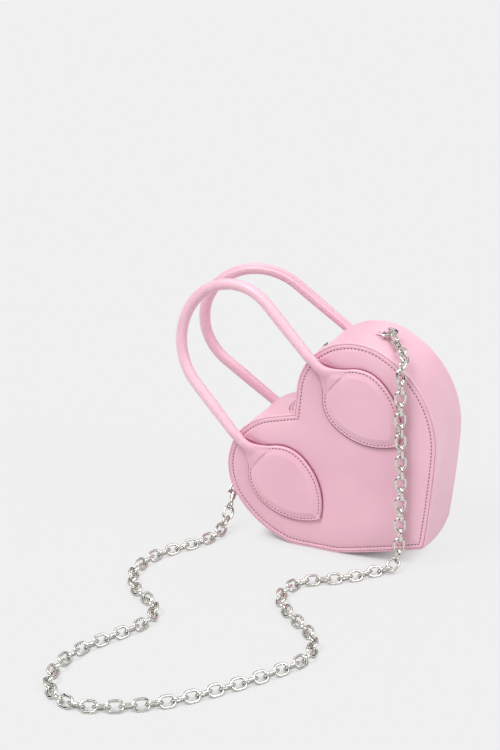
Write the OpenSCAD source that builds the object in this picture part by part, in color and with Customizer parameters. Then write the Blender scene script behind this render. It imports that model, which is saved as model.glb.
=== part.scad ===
/* [Heart body] */
// Width of the heart across its two lobes
heart_w = 210; // [204:1:220]
// Depth of the bag between the faces of its two panels
bag_d = 70; // [60:1:80]
// Radius of the round top of each lobe
lobe_r = 53.3; // [51:0.1:56]
// Radius of the shoulder that runs down from the lobe
shoulder_r = 91.4; // [88:0.1:96]
// Radius of the nearly straight flank above the tip
flank_r = 972; // [800:1:1200]
// Radius of the rounded tip
tip_r = 6; // [5:0.1:9]
// Angle above the horizontal where the lobe turns into the shoulder
shoulder_start = 15; // [10:1:20]
// Angle below the horizontal where the shoulder turns into the flank
flank_start = 52; // [50:1:54]
// Angle between the cleft's straight sides and the heart's axis
cleft_slope = 55; // [50:1:58]
// Tilt of the heart's axis when the bag stands on its left flank
rest_tilt = 49.5; // [47:0.5:51]
// Depth by which the flank is pressed flat where the bag stands
rest_sink = 2.5; // [2:0.1:4]

/* [Leather and boards] */
// Thickness of the front and back panels
panel_t = 1.6; // [1.4:0.1:1.8]
// Distance of a panel's edge from the outside of the gusset
panel_inset = 1.8; // [1.7:0.1:2.2]
// Height of a panel's face above the gusset's folded edge
panel_proud = 0.6; // [0.3:0.1:0.9]
// Thickness of the gusset leather
gusset_t = 1.6; // [1.4:0.1:1.7]
// Thickness of the gusset's turned-in seam allowance
flange_t = 1.2; // [1:0.1:1.4]
// Width of the gusset's turned-in seam allowance
flange_w = 8; // [6:0.5:10]
// Thickness of the stiffening boards
board_t = 1; // [0.8:0.1:1.2]
// Thickness of the lining
lining_t = 0.6; // [0.5:0.1:0.8]
// Thickness of the patch over the cleft's seam
patch_t = 0.8; // [0.6:0.1:1.2]
// Width of the patch over the cleft's seam, across the gusset
patch_w = 60; // [50:1:62]
// Length of the patch from the cleft to the middle of its round end
patch_l = 16; // [14:0.5:18]
// Radius of the patch's round end
patch_r = 48; // [44:1:60]

/* [Handles] */
// Radius of the leather tube of a handle
tube_r = 4.5; // [4:0.1:5]
// Thickness of the leather round the core of a handle
cover_t = 1; // [0.8:0.1:1.2]
// Distance from the heart's axis to each end of a handle
handle_x = 53.5; // [50:0.5:54]
// Height of the handle's hinge line over the middle of the lobes
hinge_z = 55; // [54:0.5:58]
// Height of the handle's crown over its hinge line
handle_rise = 111; // [100:0.5:125]
// Angle at which the handles lean in over the bag
handle_lean = 12; // [0:1:14]
// Distance that the back handle and its tabs sit further right than the front ones
back_shift = 4; // [0:0.5:5]
// Gap between a handle's tube and the panel behind it
tube_gap = 2; // [0.8:0.1:2.4]
// Gap between a handle's ball end and the neck of its tab
neck_gap = 0.3; // [0.3:0.1:0.6]

/* [Leaf tabs] */
// Half width of a leaf tab
leaf_r = 30.5; // [29:0.5:31]
// Radius of the two sides that meet at the leaf's point
leaf_side_r = 56; // [52:1:62]
// Height of the leaf's widest place, below the middle of the lobes
leaf_drop = 2; // [0:0.5:4]
// Radius of the flare from the leaf into its neck
flare_r = 32; // [28:1:36]
// Thickness of a leaf tab
leaf_t = 3.6; // [3:0.1:4.2]
// Thickness of the leather over the leaf's padding
leaf_skin = 1.2; // [1:0.1:1.4]
// Width of the stitched margin round the leaf's padding
leaf_margin = 4; // [3.5:0.1:5]
// Height of the lower end of the tube on the neck, over the middle of the lobes
neck_z = 28; // [26:0.5:32]

/* [Rings and hooks] */
// Radius of a ring's bow, to the middle of its wire
ring_r = 9.2; // [8.6:0.1:10]
// Radius of a ring's wire
ring_wire_r = 1.4; // [1.2:0.1:1.5]
// Place of the rings on the lobes, as an angle over the horizontal
ring_angle = 25.5; // [24:0.5:30]
// Height of a ring's bar over the gusset
ring_h = 3.4; // [3.2:0.1:3.6]
// Direction of the right ring, over the horizontal
right_ring_dir = 3; // [0:0.5:6]
// Direction of the left ring, over the horizontal
left_ring_dir = -140; // [-144:0.5:-136]
// Thickness of the leather round a ring's bar
loop_t = 0.8; // [0.7:0.1:1]
// Width of the leather loop that holds a ring
loop_w = 7; // [6:0.5:8]
// Length of the loop's stitched end, as an angle round the lobe
loop_turn = 8; // [6:0.5:10]
// Distance from the ring's wire to the middle of the hook's eye
hook_l = 26; // [25.5:0.1:28]
// Radius of the hook's bow, to the middle of its wire
bow_r = 4; // [3.8:0.1:4.6]
// Radius of the hook's wire
hook_wire_r = 1.3; // [1.2:0.1:1.5]
// Radius of the hook's gate
gate_r = 1.1; // [1:0.1:1.2]
// Radius of the hook's swivel barrel
barrel_r = 2.6; // [2.6:0.1:3]
// Radius of the swivel pin
swivel_r = 1; // [0.9:0.1:1.1]
// Clearance of a turning pin in its hole
pin_clear = 0.05; // [0.03:0.01:0.08]
// Radius of the eye, to the middle of its wire
eye_r = 3.5; // [3.4:0.1:3.8]
// Radius of the eye's wire
eye_wire_r = 1.1; // [1:0.1:1.2]
// Heading of the right hook in plan, from the bag's right
right_heading = -46; // [-48:1:-42]
// Dip of the right hook below the horizontal
right_dip = 16; // [14:1:20]
// Heading of the left hook in plan, from the bag's right
left_heading = -90; // [-94:1:-86]
// Dip of the left hook below the horizontal
left_dip = 50; // [46:1:54]

/* [Chain strap] */
// Length of a link over all
link_l = 14; // [13.9:0.1:14.4]
// Width of a link over all
link_w = 10.4; // [10:0.1:10.8]
// Radius of a link's wire
link_wire_r = 1; // [0.9:0.05:1.05]
// Distance that a link takes up along the strap
link_step = 9.6; // [9.5:0.05:9.7]
// Reach of the strap over the floor, from the bag's standing face
strap_reach = 350; // [340:1:360]
// Height of the strap's middle line where it lies on the floor
strap_z = 4.1; // [4.1:0.1:4.6]

/* [Zip] */
// Width of the opening in the gusset along the zip
zip_slot = 9; // [8.5:0.1:10]
// Angle over the horizontal where the zip ends on the right lobe
zip_end = 84; // [82:1:86]
// Share of the cleft's side that lies below the zip
zip_foot = 0.124; // [0.12:0.002:0.2]
// Width of each zip tape
tape_w = 5.6; // [5.2:0.1:6]
// Thickness of the zip tapes
tape_t = 0.6; // [0.5:0.05:0.7]
// Distance from one tooth of the zip to the next
tooth_step = 2.4; // [2.2:0.1:3]
// Length of a tooth along the zip
tooth_l = 1.2; // [1:0.1:1.4]
// Length of the slider along the zip
slider_l = 8; // [7:0.5:9]
// Length of the slider's puller
puller_l = 15; // [12:0.5:17]

/* [Hidden] */

// Colours of the leather, the boards and the metal
pink = [0.91, 0.70, 0.77];
pale_pink = [0.94, 0.78, 0.83];
lining_pink = [0.86, 0.72, 0.76];
board_grey = [0.75, 0.72, 0.68];
foam_white = [0.93, 0.92, 0.88];
silver = [0.78, 0.78, 0.80];

// Fineness of the round pieces
round_fn = 72;
wire_fn = 32;
// Steps of the outline along the lobe, the shoulder, the flank and the tip
lobe_steps = 44;
shoulder_steps = 32;
flank_steps = 8;
tip_steps = 8;
// Overrun of every cut past the faces that it goes through
cut = 0.4;
// Gap between pieces that lie against each other inside the bag
lay = 0.1;
// Side of the squares that trim the outline, far larger than the heart
far = 4 * heart_w;

function ray(a) = [cos(a), sin(a)];
function unit(v) = v / norm(v);

// Centres of the lobe, the shoulder and the flank arcs, in the bag's own plane
lobe_x = heart_w / 2 - shoulder_r + (shoulder_r - lobe_r) * cos(shoulder_start);
lobe_c = [lobe_x, 0];
shoulder_c = lobe_c - (shoulder_r - lobe_r) * ray(shoulder_start);
flank_c = shoulder_c - (flank_r - shoulder_r) * ray(-flank_start);
cleft_turn = 180 - cleft_slope;

// Corners of the outline at a given inset from the outside of the gusset
function cleft_z(inset) = (lobe_r - inset - lobe_x * cos(cleft_slope)) / sin(cleft_slope);
function tip_round(inset) = max(tip_r - inset, gusset_t);
function tip_c(inset) =
    let (reach = flank_r - inset - tip_round(inset))
    [0, flank_c[1] - sqrt(pow(reach, 2) - pow(flank_c[0], 2))];

// Where the bag stands: the height of the lobes' middle, and the shift to the standing face
rest_h = shoulder_r - rest_sink + shoulder_c[0] * sin(rest_tilt) - shoulder_c[1] * cos(rest_tilt);
rest_x = -shoulder_c[0] * cos(rest_tilt) - shoulder_c[1] * sin(rest_tilt);

// A point of the bag's plane at depth y, in the standing frame
function stand(p, y) = [
    p[0] * cos(rest_tilt) - p[1] * sin(rest_tilt) - rest_x,
    y,
    p[0] * sin(rest_tilt) + p[1] * cos(rest_tilt) + rest_h];

module standing() {
    translate([-rest_x, 0, rest_h]) rotate([0, -rest_tilt, 0]) children();
}

// Points of an arc from angle a0 up to, but without, angle a1
function arc(c, r, a0, a1, steps) =
    [for (i = [0:steps - 1]) c + r * ray(a0 + (a1 - a0) * i / steps)];

// Right half of the heart's outline, from the cleft round the lobe to the tip
function half_outline(inset) =
    let (
        to_tip = tip_c(inset) - flank_c,
        tip_turn = atan2(to_tip[1], to_tip[0])
    )
    concat(
        arc(lobe_c, lobe_r - inset, cleft_turn, shoulder_start, lobe_steps),
        arc(shoulder_c, shoulder_r - inset, shoulder_start, -flank_start, shoulder_steps),
        arc(flank_c, flank_r - inset, -flank_start, tip_turn, flank_steps),
        arc(tip_c(inset), tip_round(inset), tip_turn, -90, tip_steps));

// The heart's outline at an inset, pressed flat where it stands
module heart(inset) {
    half = half_outline(inset);
    last = len(half) - 1;
    valley = [0, cleft_z(inset)];
    foot = tip_c(inset) - [0, tip_round(inset)];
    intersection() {
        polygon(concat([valley], half, [foot], [for (i = [last:-1:0]) [-half[i][0], half[i][1]]]));
        rotate(-rest_tilt) translate([-far / 2, inset - rest_h]) square(far);
    }
}

// A slab of the heart from depth y0 to depth y1
module slab(inset, y0, y1) {
    translate([0, y1, 0]) rotate([90, 0, 0]) linear_extrude(y1 - y0) heart(inset);
}

// A bent bar round the middle of a lobe, between two radii, two angles and two depths
module lobe_bar(r0, r1, a0, a1, y0, y1) {
    translate([lobe_c[0], 0, lobe_c[1]]) rotate([90, 0, 0]) rotate([0, 0, a0])
        rotate_extrude(angle = a1 - a0, $fn = round_fn)
        translate([r0, -y1]) square([r1 - r0, y1 - y0]);
}

// A straight bar down the cleft's side, s0 to s1 from the top of that side
module side_bar(r0, r1, s0, s1, y0, y1) {
    translate([lobe_c[0], 0, lobe_c[1]]) rotate([90, 0, 0]) rotate([0, 0, cleft_turn])
        translate([r0, s0, -y1]) cube([r1 - r0, s1 - s0, y1 - y0]);
}

// Depths of the layers, from the panel's face inwards
face_y = bag_d / 2;
lip_y = face_y - panel_proud;
flange_y = face_y - panel_t;
foam_y = flange_y - flange_t;
board_y = foam_y - lay - board_t;
lining_y = board_y - lay;
board_inset = gusset_t + lay;
lining_inset = board_inset + board_t + tape_t + 2 * lay;

// Run of the zip: down the cleft's side and round the lobe
side_l = (lobe_x - lobe_r * cos(cleft_slope)) / sin(cleft_slope);
zip_side = side_l * (1 - zip_foot);
module zip_run(r0, r1, y0, y1, over) {
    turn = over / lobe_r * 180 / PI;
    lobe_bar(r0, r1, zip_end - turn, cleft_turn, y0, y1);
    side_bar(r0, r1, 0, zip_side + over, y0, y1);
}

// The same run as one cut of the given width
module zip_cut(r0, r1, width, over) {
    end = zip_end - over / lobe_r * 180 / PI;
    foot = (zip_side + over) * ray(cleft_turn + 90);
    translate([0, width / 2, 0]) rotate([90, 0, 0]) linear_extrude(width)
        polygon(concat(
            [foot + lobe_c + r1 * ray(cleft_turn)],
            arc(lobe_c, r1, cleft_turn, end, lobe_steps),
            [lobe_c + r1 * ray(end)],
            arc(lobe_c, r0, end, cleft_turn, lobe_steps),
            [lobe_c + r0 * ray(cleft_turn), foot + lobe_c + r0 * ray(cleft_turn)]));
}

module front_panel() {
    color(pink) standing() slab(panel_inset, -face_y, -flange_y);
}

module back_panel() {
    color(pink) standing() slab(panel_inset, flange_y, face_y);
}

module gusset() {
    color(pale_pink) standing() difference() {
        slab(0, -lip_y, lip_y);
        slab(gusset_t, -face_y, -flange_y);
        slab(gusset_t, flange_y, face_y);
        slab(gusset_t, -foam_y, foam_y);
        slab(flange_w, -face_y, face_y);
        zip_cut(lobe_r - gusset_t - cut, lobe_r + cut, zip_slot, 0);
    }
}

// The gusset's stiffening board leaves room for the zip's tapes
module gusset_board() {
    color(board_grey) standing() difference() {
        slab(board_inset, -foam_y + lay, foam_y - lay);
        slab(board_inset + board_t, -foam_y - cut, foam_y + cut);
        zip_cut(lobe_r - board_inset - board_t - cut, lobe_r, 2 * (tape_edge + lay), tooth_step + lay);
    }
}

module foam() {
    color(foam_white) standing() slab(flange_w + lay, -flange_y, -foam_y);
}

module front_foam() { foam(); }
module back_foam() { mirror([0, 1, 0]) foam(); }

module board() {
    color(board_grey) standing() slab(board_inset + board_t + lay, -board_y - board_t, -board_y);
}

module front_board() { board(); }
module back_board() { mirror([0, 1, 0]) board(); }

module lining() {
    color(lining_pink) standing() difference() {
        slab(lining_inset, -lining_y, lining_y);
        slab(lining_inset + lining_t, lining_t - lining_y, lining_y - lining_t);
        zip_cut(lobe_r - lining_inset - lining_t - cut, lobe_r, zip_slot, 0);
    }
}

// Round-ended patch over the seam beside the cleft, on the left lobe's side
module cleft_patch() {
    start = tooth_l;
    color(pale_pink) standing() mirror([1, 0, 0])
        translate([lobe_c[0], 0, lobe_c[1]]) rotate([90, 0, 0]) rotate([0, 0, cleft_turn])
        translate([lobe_r + lay, side_l, 0]) rotate([0, 90, 0]) linear_extrude(patch_t) intersection() {
            translate([0, patch_r - patch_l]) circle(patch_r, $fn = 2 * round_fn);
            translate([-patch_w / 2, -patch_l - cut]) square([patch_w, patch_l + cut - start]);
        }
}

// The zip: two tapes behind the slot, a row of teeth on each tape, and a stop at each end
tooth_y0 = 0.5 * tooth_l;
tooth_y1 = tooth_y0 + tooth_l;
tape_edge = tooth_y1 + tape_w;
tape_r = lobe_r - board_inset - tape_t;
tooth_r0 = tape_r - tape_t / 2;
tooth_r1 = tape_r + 3 * tape_t / 2;
stop_r = lobe_r - board_inset;

module zip_tapes() {
    color(pale_pink) standing() for (side = [0, 1]) mirror([0, side, 0])
        zip_run(tape_r, tape_r + tape_t, tooth_y1, tape_edge, tooth_step);
}

tooth_turn = tooth_step / lobe_r * 180 / PI;
tooth_span = tooth_l / lobe_r * 180 / PI;
lobe_teeth = floor((cleft_turn - zip_end) / tooth_turn) - 1;
side_teeth = floor((zip_side - 3 * tooth_l) / tooth_step);

module zip_teeth() {
    color(silver) standing() for (side = [0, 1]) mirror([0, side, 0]) {
        zip_run(tape_r, tape_r + tape_t, tooth_y1 - tooth_l / 2, tooth_y1, -tooth_l);
        for (i = [1:1:lobe_teeth])
            lobe_bar(tooth_r0, tooth_r1, zip_end + i * tooth_turn,
                zip_end + i * tooth_turn + tooth_span, tooth_y0, tooth_y1);
        for (i = [0:1:side_teeth])
            side_bar(tooth_r0, tooth_r1, i * tooth_step + tooth_l, i * tooth_step + 2 * tooth_l,
                tooth_y0, tooth_y1);
    }
}

module zip_stops() {
    color(silver) standing() {
        lobe_bar(tooth_r0, stop_r, zip_end - tooth_span / 2, zip_end + tooth_span / 2,
            -tooth_y1, tooth_y1);
        side_bar(tooth_r0, stop_r, zip_side, zip_side + tooth_l, -tooth_y1, tooth_y1);
    }
}

// The slider rides round the lobe: two plates, a web between them and two ears on top
plate_t = 1;
slider_w = 7;
slider_gap = 0.12;
web_w = 0.8;
ear_w = 1;
ear_h = 2.2;
ear_pin_r = 0.5;
slider_turn = slider_l / lobe_r * 180 / PI;
slider_a = zip_end + tooth_span / 2 + tooth_span / 4;
slider_mid = slider_a + slider_turn / 2;
plate_r = tooth_r1 + slider_gap;
ear_r = plate_r + plate_t + ear_h / 2;
ear_turn = ear_h / lobe_r * 180 / PI;

module zip_slider() {
    color(silver) standing() {
        lobe_bar(plate_r, plate_r + plate_t, slider_a, slider_a + slider_turn, -slider_w / 2, slider_w / 2);
        lobe_bar(tooth_r0 - slider_gap - plate_t, tooth_r0 - slider_gap, slider_a, slider_a + slider_turn,
            -slider_w / 2, slider_w / 2);
        lobe_bar(tooth_r0 - slider_gap - plate_t / 2, plate_r + plate_t / 2, slider_a,
            slider_a + slider_turn / 4, -web_w / 2, web_w / 2);
        difference() {
            for (side = [0, 1]) mirror([0, side, 0])
                lobe_bar(plate_r + plate_t / 2, plate_r + plate_t + ear_h, slider_mid - ear_turn / 2,
                    slider_mid + ear_turn / 2, slider_w / 2 - ear_w, slider_w / 2);
            puller_axis()
                cylinder(r = ear_pin_r + pin_clear, h = slider_w + 2 * cut, center = true, $fn = wire_fn);
        }
    }
}

// Frame on the puller's pin: X out of the lobe, Y towards the cleft, Z along the pin
module puller_axis() {
    translate([lobe_c[0], 0, lobe_c[1]]) rotate([90, 0, 0]) rotate([0, 0, slider_mid])
        translate([ear_r, 0, 0]) children();
}

puller_w = slider_w - 2 * ear_w - 3 * pin_clear;
puller_t = 2 * ear_pin_r;

module zip_puller() {
    color(silver) standing() puller_axis() {
        cylinder(r = ear_pin_r, h = slider_w, center = true, $fn = wire_fn);
        difference() {
            translate([-puller_t / 2, 0, -puller_w / 2]) cube([puller_t, puller_l, puller_w]);
            translate([-puller_t, puller_l - puller_w / 2, 0]) rotate([0, 90, 0])
                cylinder(r = puller_w / 4, h = 2 * puller_t, $fn = wire_fn);
        }
    }
}

// A leaf: a round head, two sides that meet at the point, and a flare into the neck
neck_end = hinge_z - tube_r - neck_gap;
tube_y = face_y + tube_gap + tube_r;
flare_x = tube_r + flare_r;
flare_z = sqrt(pow(leaf_r + flare_r, 2) - pow(flare_x, 2)) - leaf_drop;
flare_foot = [flare_x, flare_z + leaf_drop] * leaf_r / (leaf_r + flare_r) - [0, leaf_drop];

module leaf(inset) {
    head_r = leaf_r - inset;
    side_r = leaf_side_r - inset;
    neck = min(neck_end, flare_z);
    translate([0, -leaf_drop]) circle(head_r, $fn = round_fn);
    intersection() {
        translate([head_r - side_r, -leaf_drop]) circle(side_r, $fn = 2 * round_fn);
        translate([side_r - head_r, -leaf_drop]) circle(side_r, $fn = 2 * round_fn);
        translate([-leaf_r, -leaf_drop - side_r]) square([2 * leaf_r, side_r + lay]);
    }
    if (inset == 0) difference() {
        polygon([[-flare_foot[0], flare_foot[1]], [flare_foot[0], flare_foot[1]],
            [tube_r, neck], [tube_r, neck_end], [-tube_r, neck_end], [-tube_r, neck]]);
        for (side = [0, 1]) mirror([side, 0]) translate([flare_x, flare_z])
            circle(flare_r, $fn = 2 * round_fn);
    }
}

// One tab on the front panel; the space for its pad is open towards the panel
module tab(x) {
    color(pink) standing() translate([x, 0, 0]) difference() {
        union() {
            translate([0, -face_y, 0]) rotate([90, 0, 0]) linear_extrude(leaf_t) leaf(0);
            translate([0, -tube_y, neck_z]) cylinder(r = tube_r, h = neck_end - neck_z, $fn = round_fn);
            translate([0, -tube_y, neck_z]) sphere(r = tube_r, $fn = round_fn);
        }
        translate([0, cut - face_y, 0]) rotate([90, 0, 0])
            linear_extrude(leaf_t - leaf_skin + cut) leaf(leaf_margin);
    }
}

module tab_pads(shift) {
    color(foam_white) standing() for (side = [-1, 1]) translate([shift + side * handle_x, -face_y, 0])
        rotate([90, 0, 0]) linear_extrude(leaf_t - leaf_skin - lay) leaf(leaf_margin + lay);
}

module front_left_tab() { tab(-handle_x); }
module front_right_tab() { tab(handle_x); }
module back_left_tab() { mirror([0, 1, 0]) tab(back_shift - handle_x); }
module back_right_tab() { mirror([0, 1, 0]) tab(back_shift + handle_x); }
module front_tab_pads() { tab_pads(0); }
module back_tab_pads() { mirror([0, 1, 0]) tab_pads(back_shift); }

// A handle: two straight legs under half a ring
leg_l = handle_rise - handle_x;

// Both legs reach down to the given height under the hinge line
module handle_tube(r, below) {
    translate([0, -tube_y, hinge_z + leg_l]) rotate([90, 0, 0])
        rotate_extrude(angle = 180, $fn = 2 * round_fn)
        translate([handle_x, 0]) circle(r, $fn = round_fn);
    for (side = [-1, 1])
        translate([side * handle_x, -tube_y, hinge_z - below])
        cylinder(r = r, h = leg_l + below, $fn = round_fn);
}

// Lower half of a ball, to close the foot of a leg
module foot(r) {
    rotate_extrude($fn = round_fn) intersection() {
        circle(r, $fn = round_fn);
        translate([0, -r]) square(r);
    }
}

// The handles lean in about the line through their lower ends
module leaning(shift) {
    translate([shift, -tube_y, hinge_z]) rotate([-handle_lean, 0, 0])
        translate([0, tube_y, -hinge_z]) children();
}

module handle_cover(shift) {
    color(pink) standing() leaning(shift) difference() {
        union() {
            handle_tube(tube_r, 0);
            for (side = [-1, 1]) translate([side * handle_x, -tube_y, hinge_z]) foot(tube_r);
        }
        handle_tube(tube_r - cover_t, tube_r + cut);
    }
}

module handle_core(shift) {
    core_r = tube_r - cover_t - lay;
    color(foam_white) standing() leaning(shift)
        handle_tube(core_r, sqrt(pow(tube_r, 2) - pow(tube_r - cover_t, 2)));
}

module front_handle_cover() { handle_cover(0); }
module front_handle_core() { handle_core(0); }
module back_handle_cover() { mirror([0, 1, 0]) handle_cover(back_shift); }
module back_handle_core() { mirror([0, 1, 0]) handle_core(back_shift); }

// Leather loop on the lobe: a tube round the ring's bar on a foot, and a thin tail stitched down
// above it
bar_r = lobe_r + ring_h;
loop_r = ring_wire_r + pin_clear + loop_t;
foot_turn = (loop_r - loop_t / 2) / bar_r * 180 / PI;

module ring_loop() {
    sole_r = lobe_r + lay;
    translate([lobe_c[0], 0, lobe_c[1]]) rotate([90, 0, 0]) rotate([0, 0, ring_angle]) difference() {
        union() {
            translate([bar_r, 0, 0]) cylinder(r = loop_r, h = loop_w, center = true, $fn = round_fn);
            translate([0, 0, -loop_w / 2]) linear_extrude(loop_w) polygon(concat(
                arc([0, 0], sole_r, -foot_turn, loop_turn, tip_steps),
                [sole_r * ray(loop_turn)],
                arc([0, 0], sole_r + loop_t, loop_turn, foot_turn, tip_steps),
                [(sole_r + loop_t) * ray(foot_turn), bar_r * ray(foot_turn), bar_r * ray(-foot_turn)]));
        }
        translate([bar_r, 0, 0])
            cylinder(r = ring_wire_r + pin_clear, h = loop_w + 2 * cut, center = true, $fn = round_fn);
    }
}

module right_ring_loop() { color(pale_pink) standing() ring_loop(); }
module left_ring_loop() { color(pale_pink) standing() mirror([1, 0, 0]) ring_loop(); }

// A ring: a straight bar and a half-round bow, with the bow on the +X side
module ring() {
    rotate([0, 0, -90]) rotate_extrude(angle = 180, $fn = round_fn)
        translate([ring_r, 0]) circle(ring_wire_r, $fn = wire_fn);
    rotate([90, 0, 0]) cylinder(r = ring_wire_r, h = 2 * ring_r, center = true, $fn = wire_fn);
    for (side = [-1, 1]) translate([0, side * ring_r, 0]) sphere(r = ring_wire_r, $fn = wire_fn);
}

bar_p = lobe_c + bar_r * ray(ring_angle);
right_bar = stand(bar_p, 0);
left_bar = stand([-bar_p[0], bar_p[1]], 0);

module right_ring() { color(silver) translate(right_bar) rotate([0, -right_ring_dir, 0]) ring(); }
module left_ring() { color(silver) translate(left_bar) rotate([0, -left_ring_dir, 0]) ring(); }

// Each hook has slid round its ring to where it pulls squarely
function pull(heading, dip) = [cos(dip) * cos(heading), cos(dip) * sin(heading), -sin(dip)];
function hold_turn(dir, p) = atan2(-p[1], p[0] * cos(dir) + p[2] * sin(dir));
function ring_out(dir, turn) = [cos(turn) * cos(dir), -sin(turn), cos(turn) * sin(dir)];
function ring_run(dir, turn) = [sin(turn) * cos(dir), cos(turn), sin(turn) * sin(dir)];

right_pull = pull(right_heading, right_dip);
left_pull = pull(left_heading, left_dip);
right_turn = hold_turn(right_ring_dir, right_pull);
left_turn = hold_turn(left_ring_dir, left_pull);
right_hold = right_bar + ring_r * ring_out(right_ring_dir, right_turn);
left_hold = left_bar + ring_r * ring_out(left_ring_dir, left_turn);

// Frame at p with Z along the pull and X as near as can be to the given side
module along(p, z, side) {
    x = unit(side - (side * z) * z);
    y = cross(z, x);
    multmatrix([
        [x[0], y[0], z[0], p[0]],
        [x[1], y[1], z[1], p[1]],
        [x[2], y[2], z[2], p[2]],
        [0, 0, 0, 1]]) children();
}

// Each hook stands across its ring's wire, and its gate faces away from the bag
right_side = cross(right_pull, ring_run(right_ring_dir, right_turn));
left_side = cross(ring_run(left_ring_dir, left_turn), left_pull);
module right_hook_frame() { along(right_hold, right_pull, right_side) children(); }
module left_hook_frame() { along(left_hold, left_pull, left_side) children(); }

// Heights along a hook, from the ring's wire towards the eye
hold_gap = 0.5;
bow_z = bow_r - hook_wire_r - ring_wire_r - hold_gap;
nose_z = bow_z + hook_wire_r;
gate_gap = 0.25;
base_t = 3;
base_w = 4.4;
base_z = hook_l / 2 - base_t / 2;
pin_z = base_z + base_t / 2;
gate_pin_r = 0.6;
barrel_h = 5;
barrel_z = base_z + base_t;
head_r = swivel_r + 0.7 * swivel_r;
head_h = 1;
head_z = barrel_z + head_h;
slot_w = 2 * gate_r + 2 * gate_gap;
// Room for the gate's foot as it opens
gate_swing = 20;
gate_room = gate_gap + base_t / 2 * tan(gate_swing) + gate_r / cos(gate_swing) - gate_r;

module hook_body() {
    color(silver) difference() {
        union() {
            translate([0, 0, bow_z]) rotate([90, 0, 0]) rotate([0, 0, 180])
                rotate_extrude(angle = 180, $fn = round_fn)
                translate([bow_r, 0]) circle(hook_wire_r, $fn = wire_fn);
            translate([-bow_r, 0, bow_z])
                cylinder(r = hook_wire_r, h = base_z - bow_z + base_t / 2, $fn = wire_fn);
            translate([bow_r, 0, bow_z]) cylinder(r = hook_wire_r, h = nose_z - bow_z, $fn = wire_fn);
            translate([-bow_r - hook_wire_r, -base_w / 2, base_z])
                cube([2 * (bow_r + hook_wire_r), base_w, base_t]);
            translate([0, 0, base_z]) cylinder(r = barrel_r, h = base_t + barrel_h, $fn = round_fn);
        }
        translate([bow_r - gate_r - gate_room, -slot_w / 2, base_z - cut])
            cube([bow_r + hook_wire_r, slot_w, base_t + 2 * cut]);
        translate([bow_r, 0, pin_z]) rotate([90, 0, 0])
            cylinder(r = gate_pin_r + pin_clear, h = base_w + 2 * cut, center = true, $fn = wire_fn);
        translate([0, 0, barrel_z]) cylinder(r = head_r + gate_gap, h = head_h + head_h, $fn = wire_fn);
        translate([0, 0, barrel_z]) cylinder(r = swivel_r + pin_clear, h = barrel_h + cut, $fn = wire_fn);
    }
}

// The gate closes the hook between its nose and the pin in its base
module gate() {
    color(silver) difference() {
        union() {
            translate([bow_r, 0, nose_z + gate_gap])
                cylinder(r = gate_r, h = pin_z - nose_z - gate_gap, $fn = wire_fn);
            translate([bow_r, 0, pin_z]) rotate([90, 0, 0])
                cylinder(r = gate_r, h = 2 * gate_r, center = true, $fn = wire_fn);
        }
        translate([bow_r, 0, pin_z]) rotate([90, 0, 0])
            cylinder(r = gate_pin_r + pin_clear, h = slot_w, center = true, $fn = wire_fn);
    }
}

module gate_pin() {
    color(silver) translate([bow_r, 0, pin_z]) rotate([90, 0, 0])
        cylinder(r = gate_pin_r, h = base_w, center = true, $fn = wire_fn);
}

// The eye turns in the barrel on a headed pin
module eye() {
    collar_z = barrel_z + barrel_h + gate_gap;
    color(silver) {
        translate([0, 0, hook_l]) rotate([0, 90, 0]) rotate_extrude($fn = round_fn)
            translate([eye_r, 0]) circle(eye_wire_r, $fn = wire_fn);
        translate([0, 0, head_z - head_h / 2]) cylinder(r = head_r, h = head_h, $fn = wire_fn);
        translate([0, 0, head_z]) cylinder(r = swivel_r, h = hook_l - eye_r - head_z, $fn = wire_fn);
        translate([0, 0, collar_z]) cylinder(r = swivel_r + eye_wire_r / 2, h = hook_l - eye_r - collar_z,
            $fn = wire_fn);
    }
}

module right_hook() { right_hook_frame() hook_body(); }
module left_hook() { left_hook_frame() hook_body(); }
module right_gate() { right_hook_frame() gate(); }
module left_gate() { left_hook_frame() gate(); }
module right_gate_pin() { right_hook_frame() gate_pin(); }
module left_gate_pin() { left_hook_frame() gate_pin(); }

// Route of the chain strap, from the right hook's eye down the front, over the floor
// and back to the left hook's eye
link_gap = link_l - 4 * link_wire_r - link_step;
end_reach = eye_r - eye_wire_r - link_gap / 2 + (link_l - link_step) / 2 - 2 * link_wire_r;
right_start = right_hold + (hook_l + end_reach) * right_pull;
left_start = left_hold + (hook_l + end_reach) * left_pull;

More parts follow.
